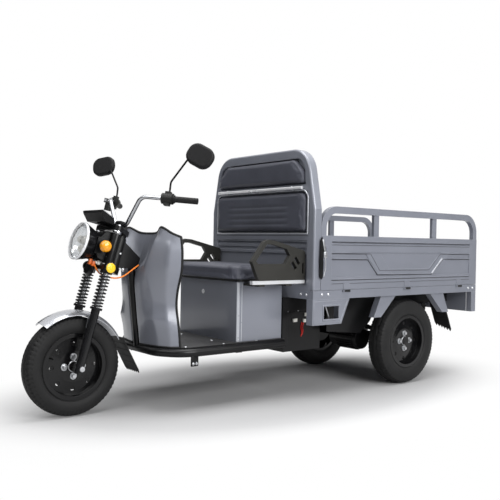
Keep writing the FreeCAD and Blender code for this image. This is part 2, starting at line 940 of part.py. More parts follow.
def fork_clamps():
    over = d.overrun
    lower_plate = slab(
        "lower_clamp_plate", "XY_Plane", [clamp_outline()], clamp_low, clamp_low + d.lower_clamp_depth,
    )
    caps = [
        rod(
            f"spring_cap_{side}", d.collar_radius, (zero, leg_y * side, clamp_low - d.spring_cap),
            d.spring_cap,
        )
        for side in (1, -1)
    ]
    holes = leg_holes("lower_leg_hole", clamp_low - d.spring_cap - over, d.head_base + over)
    lower = cut("lower_clamp", fuse("lower_clamp_solid", lower_plate, *caps), *holes)
    top_nut_height = d.bearing_nut_height * 0.6
    stem_length = clamp_top + top_nut_height - clamp_low
    stem = rod("steering_stem", d.stem_radius, (-d.fork_offset, zero, clamp_low), stem_length)
    nut = rod(
        "bearing_nut", d.bearing_nut_radius, (-d.fork_offset, zero, head_top + d.seat_gap),
        d.bearing_nut_height,
    )
    top_nut = rod(
        "stem_nut", d.stem_radius + d.clamp_margin / 3, (-d.fork_offset, zero, clamp_top), top_nut_height,
    )
    lower_half = fuse("lower_clamp_and_stem", lower, stem, nut, top_nut)
    top_plate = slab("top_clamp_plate", "XY_Plane", [clamp_outline()], clamp_base, clamp_top)
    stem_hole = rod(
        "stem_hole", d.stem_radius + d.run_gap, (
            -d.fork_offset, zero, clamp_base - over,
        ), d.top_clamp_depth + over * 2,
    )
    top = cut(
        "top_clamp", top_plate, stem_hole, *leg_holes("top_leg_hole", clamp_base - over, clamp_top + over),
    )
    pieces = [lower_half, top, bar_block(), key_barrel(), pod_bracket(), *lamp_mounts()]
    return in_fork(group("fork_clamps", *pieces))


def bar_block():
    foot_z = clamp_top + d.bar_foot_rise
    centre = -d.bar_foot_setback
    half = d.bar_block_half
    shape = block(
        "bar_block_shape", (centre - d.bar_block_length / 2, centre + d.bar_block_length / 2), (-half, half),
        (clamp_top, clamp_top + d.bar_block_height),
    )
    hole = rod(
        "bar_hole", d.bar_radius + d.run_gap, (
            centre, -half - d.overrun, foot_z,
        ), half * 2 + d.overrun * 2, "y",
    )
    stem_room = rod(
        "stem_room", d.stem_radius + d.clamp_margin / 3 + d.seat_gap, (-d.fork_offset, zero, clamp_top),
        d.bearing_nut_height * 0.6 + d.seat_gap,
    )
    return cut("bar_block", shape, hole, stem_room)


def key_barrel():
    barrel = rod("key_barrel_shape", d.key_barrel_radius, (zero, zero, clamp_top), d.key_barrel_height)
    hole = rod(
        "key_hole", d.key_radius + d.run_gap, (
            zero, zero, clamp_top + d.key_barrel_height / 2,
        ), d.key_barrel_height,
    )
    return cut("key_barrel", barrel, hole)


def pod_bracket():
    rear = d.pod_front - d.pod_length
    return block(
        "pod_bracket", (d.clamp_margin, rear + d.pod_length / 2),
        (-d.pod_bracket_half, d.pod_bracket_half), (clamp_top - d.lamp_plate * 2, clamp_top - d.seat_gap),
    )


def lamp_mounts():
    inner = leg_y - d.stanchion_radius - d.seat_gap - d.lamp_plate
    outer = inner + d.lamp_plate
    low = lamp_height - d.lamp_plate_height / 2
    items = []
    for side, word in ((1, "left"), (-1, "right")):
        span = (inner, outer) if side > 0 else (-outer, -inner)
        plate = block(
            f"lamp_plate_{word}", (-d.stanchion_radius, d.lamp_plate_length - d.stanchion_radius), span,
            (low, low + d.lamp_plate_height),
        )
        stalk_start = outer if side > 0 else -outer - d.signal_stalk
        stalk = rod(
            f"signal_stalk_{word}", d.signal_stalk_radius, (
                d.signal_ahead, stalk_start, lamp_height,
            ), d.signal_stalk, "y",
        )
        items.append(fuse(f"lamp_mount_{word}", plate, stalk))
    return items


def fork_stanchions():
    length = clamp_top + d.overrun - d.stanchion_base
    left = rod("stanchion", d.stanchion_radius, (zero, leg_y, d.stanchion_base), length)
    return in_fork(pair("fork_stanchions", left))


def biarc(start, start_way, end, end_way):
    """Two tangent arcs between two points with given directions."""
    span = end - start
    ways = start_way + end_way
    spread = 2 * (1 - start_way.dot(end_way))
    along = span.dot(ways)
    reach = (math.sqrt(along * along + spread * span.dot(span)) - along) / spread
    first = start + start_way * reach
    second = end - end_way * reach
    joint = (first + second) * 0.5
    edges = []
    for begin, corner, finish in ((start, first, joint), (joint, second, end)):
        middle = (begin + finish) * 0.5
        half = (finish - begin).Length / 2
        height = (corner - middle).Length
        sagitta = half * math.tan(math.atan2(height, half) / 2)
        crown = middle + (corner - middle).normalize() * sagitta
        edges.append(Part.Arc(begin, crown, finish).toShape())
    return edges


def coil_place(turn_share, radius, low, pitch):
    angle = 2 * math.pi * turn_share
    place = Vector(radius * math.cos(angle), radius * math.sin(angle), low + pitch * turn_share)
    way = Vector(-radius * math.sin(angle), radius * math.cos(angle), pitch / (2 * math.pi)).normalize()
    return place, way


def least_gap(path, wire, apart):
    """Least clear space, found on points, between stretches of a wire that lie a given run apart."""
    points = path.discretize(Distance=wire)
    skip = math.ceil(apart * len(points) / path.Length)
    spaces = [
        point.distanceToPoint(other)
        for index, point in enumerate(points)
        for other in points[index + skip:]
    ]
    return min(spaces) - 2 * wire


def level_way(way):
    return Vector(way.x, way.y, 0).normalize()


def coil(low, high, radius, wire, turns):
    """Spring wire whose two ends stand square on its seats for one wire diameter."""
    tail = 2 * wire
    bend = 3 * wire
    pitch = (high - low - 2 * tail - 2 * bend) / turns
    up = Vector(0, 0, 1)
    stations = [coil_place(step / 2, radius, low + tail + bend, pitch) for step in range(2 * turns + 1)]
    first, first_way = stations[0]
    last, last_way = stations[-1]
    foot = first - level_way(first_way) * bend - up * bend
    top = last + level_way(last_way) * bend + up * bend
    edges = [Part.LineSegment(foot - up * tail, foot).toShape()]
    edges += biarc(foot, up, first, first_way)
    for (begin, way), (finish, next_way) in zip(stations, stations[1:]):
        edges += biarc(begin, way, finish, next_way)
    edges += biarc(last, last_way, top, up)
    edges.append(Part.LineSegment(top, top + up * tail).toShape())
    path = Part.Wire(edges)
    print("spring: least gap to itself", round(least_gap(path, wire, math.pi * radius), 2))
    return swept_round(path, wire)


def fork_springs():
    low = (d.slider_top + d.collar_height + d.seat_gap).value
    high = (clamp_low - d.spring_cap - d.seat_gap).value
    shape = coil(low, high, d.spring_radius.value, d.spring_wire.value, SPRING_TURNS)
    left = feature("left_coil", shape)
    locate(left, zero, leg_y, zero)
    return in_fork(pair("fork_springs", left))


def fork_sliders():
    tube = rod("slider_tube", d.slider_radius, (zero, leg_y, -d.slider_foot), d.slider_top + d.slider_foot)
    collar = rod("slider_collar", d.collar_radius, (zero, leg_y, d.slider_top), d.collar_height)
    bore_length = d.slider_top + d.collar_height + d.overrun - d.slider_bore_floor
    bore = rod("slider_bore", d.stanchion_radius + d.run_gap, (zero, leg_y, d.slider_bore_floor), bore_length)
    across = leg_y + d.slider_radius + d.overrun
    axle_hole = rod("slider_axle_hole", d.front_axle_radius + d.run_gap, (zero, zero, zero), across, "y")
    left = cut("left_slider", fuse("slider_shape", tube, collar), bore, axle_hole)
    return in_fork(pair("fork_sliders", left))


def front_axle():
    half = leg_y + d.slider_radius
    spindle = rod(
        "front_spindle", d.front_axle_radius, (zero, -half - d.axle_nut_length, zero),
        half * 2 + d.axle_nut_length * 2, "y",
    )
    items = [spindle]
    sleeve_length = leg_y - d.slider_radius - d.front_hub_half - d.bearing_gap * 2
    for side in (1, -1):
        nut_start = half + d.seat_gap if side > 0 else -half - d.axle_nut_length
        items.append(
            rod(
                f"front_nut_{side}", d.axle_nut_radius, (zero, nut_start, zero),
                d.axle_nut_length - d.seat_gap, "y",
            )
        )
    start = -d.front_hub_half - d.bearing_gap - sleeve_length
    items.append(rod("brake_side_sleeve", d.axle_nut_radius, (zero, start, zero), sleeve_length, "y"))
    return in_fork(fuse("front_axle", *items))


def front_mudguard():
    outer = front_axle_z + d.mudguard_gap
    half = d.mudguard_half.value
    crown = d.mudguard_crown.value
    sheet_depth = d.mudguard_sheet.value
    top = outer.value
    arcs = []
    for drop in (0, sheet_depth):
        left = Vector(top - crown - drop, half, 0)
        right = Vector(top - crown - drop, -half, 0)
        arcs.append((left, Vector(top - drop, 0, 0), right))
    edges = [
        Part.Arc(*arcs[0]).toShape(), Part.LineSegment(arcs[0][2], arcs[1][2]).toShape(),
        Part.Arc(*reversed(arcs[1])).toShape(), Part.LineSegment(arcs[1][0], arcs[0][0]).toShape(),
    ]
    section = Part.Face(Part.Wire(edges))
    section.rotate(Vector(), Vector(0, 1, 0), -d.mudguard_front_angle.value)
    sweep = d.mudguard_rear_angle.value - d.mudguard_front_angle.value
    shell = feature("mudguard_shell", section.revolve(Vector(), Vector(0, -1, 0), sweep))
    stay_low = outer - d.mudguard_crown - d.stay_height
    stay = block(
        "mudguard_stay_left", (-d.stay_width / 2, d.stay_width / 2),
        (d.mudguard_half - d.mudguard_sheet, leg_y - d.slider_radius - d.seat_gap),
        (stay_low, outer - d.mudguard_crown),
    )
    return in_fork(fuse("front_mudguard", shell, stay, mirrored("mudguard_stay_right", stay)))


def toothed_flap(name, length, top_half, low_half, depth):
    """Rubber flap in the XY plane, hanging along +X, with a saw-toothed lower edge."""
    tooth = length / 16
    edge = []
    for step in range(FLAP_TEETH + 1):
        across = low_half * (1 - 2 * step / FLAP_TEETH)
        edge.append((length, across))
        if step < FLAP_TEETH:
            edge.append((length - tooth, across - low_half * 0.7 / FLAP_TEETH))
    outline = [(zero, -top_half), (zero, top_half), *edge]
    return slab(name, "XY_Plane", [outline], zero, depth)


def front_mud_flap():
    flap = toothed_flap(
        "front_flap_sheet", d.front_flap_length, d.front_flap_top_half, d.front_flap_low_half, d.flap_sheet,
    )
    angle = math.radians(d.mudguard_rear_angle.value)
    radius = (front_axle_z + d.mudguard_gap).value + d.seat_gap.value
    turn = Rotation(Vector(0, 1, 0), 180 - d.mudguard_rear_angle.value + 90)
    base = Vector(radius * math.cos(angle), 0, radius * math.sin(angle))
    flap.Placement = Placement(base, turn)
    return in_fork(group("front_mud_flap", flap))


# Neck of the frame and foot floor
def neck_frame():
    stem_x = -d.fork_offset
    tube = rod("head_tube", d.head_radius, (stem_x, zero, d.head_base), d.head_length)
    plate_outline = scaled(GUSSET_SHARES, stem_x, -d.gusset_length, d.head_base, d.head_length)
    plate = slab("neck_gusset", "XZ_Plane", [plate_outline], -d.gusset_half, d.gusset_half)
    upper = fuse("neck_upper", tube, plate)
    bore = rod(
        "head_bore", d.stem_radius + d.run_gap, (
            stem_x, zero, d.head_base - d.overrun,
        ), d.head_length + d.overrun * 2,
    )
    top = fork_point(-d.fork_offset - d.down_tube_setback, zero, d.head_base + d.down_tube_rise)
    foot = Vector(hoop_x.value, 0, hoop_z.value)
    tube_down = doc.addObject("Part::Cylinder", "down_tube")
    bind(tube_down, "Radius", d.down_tube_radius)
    tube_down.Height = (top - foot).Length
    tube_down.Placement = Placement(foot, Rotation(Vector(0, 0, 1), top - foot))
    saddle = rod(
        "hoop_saddle", d.hoop_radius + d.seat_gap, (
            hoop_x, -d.hoop_front_half, hoop_z,
        ), d.hoop_front_half * 2, "y",
    )
    below = block(
        "below_hoop", (
            hoop_x - d.hoop_setback, hoop_x + d.hoop_setback,
        ), (-d.hoop_front_half, d.hoop_front_half),
        (zero, hoop_z),
    )
    whole = fuse("neck_whole", in_fork(upper), tube_down)
    return cut("neck_frame", whole, in_fork(group("head_bore_tool", bore)), saddle, below)


def floor_hoop():
    half = d.hoop_half
    front = d.hoop_front_half
    bend_x = hoop_x - d.hoop_shoulder
    rear = past_headboard(d.hoop_ahead)
    points = [
        (rear, half, hoop_z), (bend_x, half, hoop_z), (hoop_x, front, hoop_z), (hoop_x, -front, hoop_z),
        (bend_x, -half, hoop_z), (rear, -half, hoop_z),
    ]
    return bent_tube("floor_hoop", points, d.hoop_bend, d.hoop_radius, d.hoop_wall)


def floor_plate():
    rear = past_headboard(d.upright_ahead) + d.upright_length + d.seat_gap
    front = hoop_x - d.hoop_radius
    half = d.hoop_half
    bend_x = hoop_x - d.hoop_shoulder - d.floor_margin
    narrow = d.hoop_front_half - d.floor_margin
    outline = [
        (rear, -half), (bend_x, -half), (front, -narrow), (front, narrow), (bend_x, half), (rear, half),
    ]
    body = slab("floor_plate", "XY_Plane", [outline], d.floor_height - d.floor_sheet, d.floor_height)
    round_edges(
        body, d.hoop_bend / 2, lambda edge: runs_along("z")(edge) and edge.BoundBox.XMin > rear.value + 1,
    )
    return body


def chassis_frame():
    inner = d.rail_half - d.rail_width / 2
    outer = d.rail_half + d.rail_width / 2
    plate_low = d.floor_height - d.floor_sheet
    low_z = (plate_low - d.low_rail_depth, plate_low)
    high_z = (sill_low - d.high_rail_depth, sill_low)
    up_x = (past_headboard(d.upright_ahead), past_headboard(d.upright_ahead) + d.upright_length)
    front_end = hoop_x - d.hoop_shoulder - d.hoop_radius * 4
    left = [
        block("low_rail", (up_x[1], front_end), (inner, outer), low_z),
        block("upright", up_x, (inner, outer), (low_z[0], sill_low)),
        high_rail((ahead(-d.rail_tail), up_x[0]), (inner, outer), high_z),
        *spring_hangers(high_z[0]),
    ]
    crosses = []
    for index, reach in enumerate(
        (ahead(-d.rail_tail), ahead(zero) + d.leaf_length * 0.7, up_x[0] - d.cross_width * 2)
    ):
        crosses.append(block(f"high_cross_{index}", (reach, reach + d.cross_width), (-inner, inner), high_z))
    for index, reach in enumerate((up_x[1], (up_x[1] + front_end) / 2, front_end - d.cross_width)):
        crosses.append(block(f"low_cross_{index}", (reach, reach + d.cross_width), (-inner, inner), low_z))
        side = block(
            f"outrigger_{index}", (reach, reach + d.cross_width), (
                outer, d.hoop_half - d.hoop_radius * 0.4,
            ), low_z,
        )
        hoop_room = rod(
            f"outrigger_room_{index}", d.hoop_radius + d.seat_gap, (reach - d.overrun, d.hoop_half, hoop_z),
            d.cross_width + d.overrun * 2, "x",
        )
        if index < 2:
            left.append(cut(f"outrigger_cut_{index}", side, hoop_room))
    items = list(left)
    for item in left:
        items.append(mirrored(f"{item.Name}_right", item))
    for side in (1, -1):
        y = d.rail_width * 1.5 * side
        crosses.append(block(
            f"floor_stringer_{side}", (front_end, hoop_x - d.hoop_radius - d.seat_gap),
            (y - d.rail_width / 2, y + d.rail_width / 2), low_z,
        ))
    return group("chassis_frame", *items, *crosses, pedal_bracket())


def high_rail(along, across, up):
    """Box-section rail under the bed, open at its tail."""
    wall = d.hanger_sheet
    inside = (along[0] - d.overrun, along[1])
    shape = block("high_rail_shape", along, across, up)
    hollow = block(
        "high_rail_hollow", inside, (across[0] + wall, across[1] - wall), (up[0] + wall, up[1] - wall),
    )
    return cut("high_rail", shape, hollow)


def spring_hangers(rail_low):
    """Plates under the rail that carry the spring eyes on their pins."""
    items = []
    eye_z = leaf_eye_z()
    half = d.leaf_width / 2
    for word, sign in (("front", 1), ("rear", -1)):
        x = rear_x + d.leaf_length / 2 * sign
        span = (x - d.leaf_eye - d.overrun, x + d.leaf_eye + d.overrun)
        plates = []
        for name, low in (
            ("in", d.rail_half - half - d.seat_gap - d.hanger_sheet),
            ("out", d.rail_half + half + d.seat_gap),
        ):
            plates.append(block(
                f"hanger_{word}_{name}", span, (low, low + d.hanger_sheet), (eye_z - d.leaf_eye, rail_low),
            ))
        cap_low = d.rail_half - half - d.seat_gap - d.hanger_sheet
        cap_high = d.rail_half + half + d.seat_gap + d.hanger_sheet
        plates.append(
            block(f"hanger_{word}_cap", span, (cap_low, cap_high), (rail_low - d.hanger_sheet, rail_low))
        )
        pin = rod(
            f"hanger_{word}_pin", d.leaf_pin, (x, cap_low - d.overrun, eye_z),
            cap_high - cap_low + d.overrun * 2, "y",
        )
        items.append(fuse(f"hanger_{word}", *plates, pin))
    return items


def pedal_bracket():
    x = ahead(d.pedal_reach)
    z = d.floor_height + d.pedal_height
    gap = d.pedal_width / 2 + d.seat_gap
    y = -d.pedal_offset
    span = (x - d.pedal_barrel, x + d.pedal_barrel)
    ears = []
    for index, low in enumerate((y - gap - d.pedal_ear, y + gap)):
        ears.append(
            block(f"pedal_ear_{index}", span, (low, low + d.pedal_ear), (d.floor_height, z + d.pedal_barrel))
        )
    pin = rod("pedal_pin", d.pedal_pin, (x, y - gap - d.pedal_ear, z), gap * 2 + d.pedal_ear * 2, "y")
    return fuse("pedal_bracket", *ears, pin)


def brake_pedal():
    x = ahead(d.pedal_reach)
    z = d.floor_height + d.pedal_height
    y = -d.pedal_offset
    half = d.pedal_width / 2
    barrel = rod("pedal_barrel_shape", d.pedal_barrel, (x, y - half, z), d.pedal_width, "y")
    lean = math.radians(d.pedal_lean.value)
    arm = block(
        "pedal_arm_shape", (-d.pedal_barrel / 2, d.pedal_barrel / 2), (-half / 2, half / 2),
        (zero, d.pedal_arm),
    )
    pad_half = d.pedal_pad_width / 2
    pad = block(
        "pedal_pad", (-d.pedal_pad_depth / 2, d.pedal_pad_depth / 2), (-pad_half, pad_half),
        (d.pedal_arm - d.pedal_pad_length / 2, d.pedal_arm + d.pedal_pad_length / 2),
    )
    lever = fuse("pedal_lever", arm, pad)
    lever.Placement = Placement(
        Vector(x.value, y.value, z.value), Rotation(Vector(0, 1, 0), math.degrees(lean)),
    )
    hole = rod(
        "pedal_hole", d.pedal_pin + d.run_gap, (x, y - half - d.overrun, z), d.pedal_width + d.overrun * 2,
        "y",
    )
    return cut("brake_pedal", fuse("pedal_whole", barrel, lever), hole)


def shield_row(row, depth):
    level = row[0]
    x = (front_x - d.shield_setback).value
    z = d.floor_height.value + d.shield_height.value * level
    half = [(x + d.shield_depth.value * forward, d.shield_half.value * out) for forward, out in row[1:]]
    front = [(px, -py) for px, py in reversed(half)] + half
    back = [(px - depth, py) for px, py in reversed(front)]
    return Part.makePolygon([Vector(px, py, z) for px, py in front + back + front[:1]])


def leg_shield():
    shell = lofted("shield_shell", [shield_row(row, d.shield_sheet.value) for row in SHIELD_SHARES])
    x = front_x - d.shield_setback
    half = [(d.shield_half * out, d.floor_height + d.shield_height * up) for out, up in SHIELD_TOP_SHARES]
    top = d.floor_height + d.shield_height * 1.1
    outline = [(-y, z) for y, z in reversed(half[1:])] + half[1:] + [(half[-1][0], top), (-half[-1][0], top)]
    trim = slab("shield_trim_tool", "YZ_Plane", [outline], x - d.shield_depth, x + d.shield_depth * 2)
    return cut("leg_shield", shell, trim)


# Seat
def seat_box():
    front = past_headboard(d.box_ahead)
    rear = front - d.box_length
    half = d.box_half
    wall = d.box_sheet
    shell = block("box_shell", (rear, front), (-half, half), (d.floor_height, box_top))
    inside = block(
        "box_inside", (rear + wall, front - wall), (wall - half, half - wall), (
            d.floor_height + wall, box_top - wall,
        ),
    )
    mouth = block(
        "box_mouth", (rear + d.box_rim, front - d.box_rim), (d.box_rim - half, half - d.box_rim),
        (box_top - wall * 2, box_top + d.overrun),
    )
    lock_z = box_top - d.lock_drop
    lock_hole = rod(
        "lock_hole", d.lock_radius + d.run_gap, (
            front - d.overrun * 2, -d.lock_offset, lock_z,
        ), d.overrun * 4, "x",
    )
    items = [cut("box_body", shell, inside, mouth, lock_hole)]
    for side in (1, -1):
        items.append(seat_hinge_pin(side))
    return fuse("seat_box", *items)


def seat_hinge_axis():
    return past_headboard(d.box_ahead) - d.box_length - d.hinge_barrel, seat_low


def seat_hinge_pin(side):
    """Ear and pin on the back of the box that the seat pan turns on."""
    x, z = seat_hinge_axis()
    start = d.seat_hinge_half + d.seat_hinge_length / 2 + d.seat_gap
    ear_y = (start, start + d.box_sheet * 2) if side > 0 else (-start - d.box_sheet * 2, -start)
    ear = block(
        f"seat_ear_{side}", (x - d.hinge_barrel, x + d.hinge_barrel + d.box_sheet), ear_y,
        (z - d.lock_drop, z + d.hinge_barrel),
    )
    pin_start = start - d.seat_hinge_length if side > 0 else -start - d.box_sheet * 2
    pin = rod(f"seat_pin_{side}", d.hinge_pin, (x, pin_start, z), d.seat_hinge_length + d.box_sheet * 2, "y")
    return fuse(f"seat_hinge_{side}", ear, pin)


def seat_pan():
    x, z = seat_hinge_axis()
    front = past_headboard(d.seat_clear + d.seat_length) - d.seat_corner
    rear = past_headboard(d.seat_clear) + d.seat_draw
    plate = slab(
        "pan_plate", "XY_Plane", [rectangle((rear, front), (-d.pan_half, d.pan_half))], pan_low, seat_low,
    )
    round_edges(plate, d.seat_corner / 2, runs_along("z"))
    items = [plate]
    holes = []
    for side in (1, -1):
        low = d.seat_hinge_half * side - d.seat_hinge_length / 2
        barrel = rod(f"pan_barrel_{side}", d.hinge_barrel, (x, low, z), d.seat_hinge_length, "y")
        tongue = block(
            f"pan_tongue_{side}", (x, rear + d.seat_corner), (
                low, low + d.seat_hinge_length,
            ), (pan_low, pan_low + d.pan_depth),
        )
        items += [barrel, tongue]
        holes.append(rod(
            f"pan_hole_{side}", d.hinge_pin + d.run_gap, (
                x, low - d.overrun, z,
            ), d.seat_hinge_length + d.overrun * 2, "y",
        ))
    return cut("seat_pan", fuse("pan_whole", *items), *holes)


def seat_cushion():
    rear = past_headboard(d.seat_clear).value
    front = past_headboard(d.seat_clear + d.seat_length).value
    half = d.seat_half.value
    wires = []
    for rise, draw in CUSHION_SHARES:
        inset = d.seat_draw.value * draw
        level = (seat_low + d.seat_gap).value + (d.seat_depth - d.seat_gap).value * rise
        wires.append(
            rounded_wire(
                lying, level, (rear + inset, inset - half), (front - inset, half - inset),
                d.seat_corner.value,
            )
        )
    pillow = lofted("cushion_pillow", wires)
    x, z = seat_hinge_axis()
    items = []
    for side in (1, -1):
        low = d.seat_hinge_half * side - d.seat_hinge_length / 2 - d.swing_gap * 4
        items.append(block(
            f"cushion_room_{side}", (x - d.overrun, x + d.hinge_barrel + d.seat_gap), (
                low, low + d.seat_hinge_length + d.swing_gap * 8,
            ),
            (seat_low - d.overrun, z + d.hinge_barrel + d.swing_gap),
        ))
    return cut("seat_cushion", pillow, *items)


def seat_lock():
    front = past_headboard(d.box_ahead)
    y = -d.lock_offset
    z = box_top - d.lock_drop
    barrel = rod(
        "lock_barrel", d.lock_radius, (front - d.lock_length, y, z), d.lock_length + d.box_sheet, "x",
    )
    head = rod("lock_head", d.lock_radius * 1.3, (front + d.seat_gap, y, z), d.box_sheet, "x")
    slot = block(
        "lock_slot", (
            front + d.box_sheet / 2, front + d.box_sheet * 3,
        ), (y - d.run_gap * 20, y + d.run_gap * 20),
        (z - d.lock_radius / 2, z + d.lock_radius / 2),
    )
    return cut("seat_lock", fuse("lock_whole", barrel, head), slot)


def armrests():
    bar_top = box_top + d.lid_gap + d.arm_bar_height / 2
    rear = ahead(d.headboard_reach) + d.seat_gap
    low = d.arm_y - d.arm_width / 2
    body = slab(
        "arm_panel", "XZ_Plane", [scaled(ARM_SHARES, rear, d.arm_length, bar_top, d.arm_height)], low,
        low + d.arm_width,
    )
    windows = [scaled(ARM_WINDOW_SHARES, rear, d.arm_length, bar_top, d.arm_height)]
    windows += [scaled(slot, rear, d.arm_length, bar_top, d.arm_height) for slot in ARM_SLOT_SHARES]
    add_pocket(body, "XZ_Plane", windows, low - d.overrun, low + d.arm_width + d.overrun)
    bar_low = bar_top - d.arm_bar_height
    brackets = []
    for index, share in enumerate((0.2, 0.8)):
        x = past_headboard(d.box_ahead) - d.box_length * share
        brackets.append(block(
            f"arm_bracket_{index}", (x - d.arm_bracket_width / 2, x + d.arm_bracket_width / 2),
            (d.box_half, d.arm_y + d.arm_bar_width / 2), (bar_low - d.arm_bracket_depth, bar_low),
        ))
    left = group("arm_left", body, *brackets)
    return group("armrests", left, mirrored("arm_right", left))


def grab_rails():
    front = ahead(d.headboard_reach)
    x = front + d.grab_standoff
    half = d.grab_half
    bar = rod("grab_bar", d.grab_radius, (x, -half, d.grab_height), half * 2, "y")
    posts = []
    for side in (1, -1):
        y = (half - d.grab_radius * 3) * side
        posts.append(
            rod(f"grab_post_{side}", d.grab_radius * 0.8, (front, y, d.grab_height), d.grab_standoff, "x")
        )
    bar_top = box_top + d.lid_gap + d.arm_bar_height / 2
    flat_bar = block(
        "arm_bar", (front, front + d.arm_bar_length), (
            d.arm_y - d.arm_bar_width / 2, d.arm_y + d.arm_bar_width / 2,
        ),
        (bar_top - d.arm_bar_height, bar_top),
    )
    return group(
        "grab_rails", fuse("grab_bar_whole", bar, *posts), flat_bar, mirrored("arm_bar_right", flat_bar),
    )


# Headboard
def pad_outline(clear):
    low = d.upper_pad_low - clear
    height = d.upper_pad_high - d.upper_pad_low + clear * 2
    half = d.upper_pad_half + clear
    right = [(half * across, low + height * up) for across, up in UPPER_PAD_SHARES]
    bend = (half * UPPER_PAD_ROUND_SHARE[0], low + height * UPPER_PAD_ROUND_SHARE[1])
    left = [(-y, z) for y, z in reversed(right)]
    return [right[0], right[1], Via(*bend), right[2], left[0], Via(-bend[0], bend[1]), left[1], left[2]]


def headboard():
    back = ahead(d.headboard_reach) - d.headboard_depth
    front = ahead(d.headboard_reach)
    foot = bed_half - d.sill_width - d.lid_gap
    waist = d.headboard_waist
    top = d.headboard_height
    outline = [
        (-foot, sill_low), (foot, sill_low), (foot, gate_low), (bed_half, gate_low), (bed_half, waist),
        (d.headboard_top_half, top), (
            -d.headboard_top_half, top,
        ), (-bed_half, waist), (-bed_half, gate_low), (-foot, gate_low),
    ]
    body = slab("headboard", "YZ_Plane", [outline], back, front)
    corner_test = runs_along("x")
    round_edges(
        body, d.headboard_corner, lambda edge: corner_test(edge) and edge.BoundBox.ZMin > top.value - 1,
    )
    round_edges(body, d.headboard_edge, lambda edge: is_front_rim(edge, front.value, waist.value))
    clear = d.pad_clear
    lower = rectangle(
        (
            -d.lower_pad_half - clear, d.lower_pad_half + clear,
        ), (d.lower_pad_low - clear, d.lower_pad_high + clear),
    )
    add_pocket(body, "YZ_Plane", [pad_outline(clear), lower], front - d.pad_recess, front + d.overrun)
    panel_z = (d.panel_low, d.panel_high)
    add_pocket(
        body, "YZ_Plane", [rectangle((-d.panel_half, d.panel_half), panel_z)], front - d.panel_recess,
        front + d.overrun,
    )
    rib = (d.panel_high - d.panel_low) / 14
    for step in (1, 3):
        low = d.panel_high - rib * (step + 1)
        add_pad(body, "YZ_Plane", [rectangle((-d.panel_half, d.panel_half), (low, low + rib))],
                front - d.panel_recess, front - d.panel_recess / 2)
    hollow = [
        (-d.panel_half, d.panel_low), (d.panel_half, d.panel_low), (d.panel_half, waist),
        (d.upper_pad_half * 0.8, d.upper_pad_high), (
            -d.upper_pad_half * 0.8, d.upper_pad_high,
        ), (-d.panel_half, waist),
    ]
    add_pocket(body, "YZ_Plane", [hollow], back - d.overrun, front - d.pad_recess - d.web)
    return body


def is_front_rim(edge, front, waist):
    box = edge.BoundBox
    return box.XMin > front - 1e-6 and box.ZMax > waist - 1


def back_pad_wires(low, high, half):
    back = (ahead(d.headboard_reach) - d.pad_recess).value + d.seat_gap.value
    wires = []
    for rise, draw in BACK_PAD_SHARES:
        inset = d.pad_draw.value * draw
        level = back + d.pad_depth.value * rise
        wires.append(rounded_wire(
            standing, level, (inset - half.value, low.value + inset), (
                half.value - inset, high.value - inset,
            ), d.pad_corner.value,
        ))
    return wires


def upper_pad_wires():
    back = (ahead(d.headboard_reach) - d.pad_recess).value + d.seat_gap.value
    wires = []
    for rise, draw in BACK_PAD_SHARES:
        inset = d.pad_draw * draw
        level = back + d.pad_depth.value * rise
        points = pad_outline(-inset)
        places = [item.point if isinstance(item, Via) else item for item in points]
        v = [Vector(level, sized(y).value, sized(z).value) for y, z in places]
        edges = [
            Part.LineSegment(v[0], v[1]).toShape(), Part.Arc(v[1], v[2], v[3]).toShape(),
            Part.LineSegment(v[3], v[4]).toShape(), Part.Arc(v[4], v[5], v[6]).toShape(),
            Part.LineSegment(v[6], v[7]).toShape(), Part.LineSegment(v[7], v[0]).toShape(),
        ]
        wires.append(Part.Wire(edges))
    return wires


def back_pads():
    upper = lofted("upper_pad", upper_pad_wires())
    lower = lofted("lower_pad_pillow", back_pad_wires(d.lower_pad_low, d.lower_pad_high, d.lower_pad_half))
    face = ahead(d.headboard_reach) - d.pad_recess + d.seat_gap + d.pad_depth
    channels = []
    for index, share in enumerate(CHANNEL_SHARES):
        z = d.lower_pad_low + (d.lower_pad_high - d.lower_pad_low) * share
        channels.append(rod(
            f"pad_channel_{index}", d.channel_radius, (
                face, -d.lower_pad_half * 0.8, z,
            ), d.lower_pad_half * 1.6, "y",
        ))
    return group("back_pads", upper, cut("lower_pad", lower, *channels))


# Cargo bed
def bed_floor():
    """Floor sheet on cross ribs between sills, under a deck plate that stops short of the gates."""
    back = ahead(-d.tail_reach)
    head_back = ahead(d.headboard_reach) - d.headboard_depth
    top = d.bed_floor_height
    inner = bed_half - d.sill_width
    inside = back + d.sill_width
    front = head_back - d.seat_gap
    sheet_top = top - d.bed_deck
    sheet_low = sheet_top - d.bed_sheet
    deck_half = bed_half - d.gate_depth - d.swing_gap
    deck_back = back + d.gate_depth + d.swing_gap
    items = [
        block("floor_sheet", (inside, front), (-inner, inner), (sheet_low, sheet_top)),
        block("deck_plate", (deck_back, front), (-deck_half, deck_half), (sheet_top, top)),
        side_sill("left", 1),
        side_sill("right", -1),
        tail_sill(),
    ]
    for index, share in enumerate(BED_RIB_SHARES):
        x = back + (head_back - back) * share
        span = (x, x + d.bed_rib_width)
        items.append(block(f"bed_rib_{index}", span, (-inner, inner), (sill_low, sheet_low)))
    return group("bed_floor", *items)


def side_sill(word, side):
    inner = bed_half - d.sill_width
    span = (inner, bed_half) if side > 0 else (-bed_half, -inner)
    along = (ahead(-d.tail_reach), ahead(d.headboard_reach))
    ears = [
        side_hinge_ears(
            f"ear_{word}_{index}", gate_x(share), side,
        ) for index, share in enumerate(GATE_HINGE_SHARES)
    ]
    return fuse(f"sill_{word}", block(f"sill_bar_{word}", along, span, (sill_low, d.bed_floor_height)), *ears)


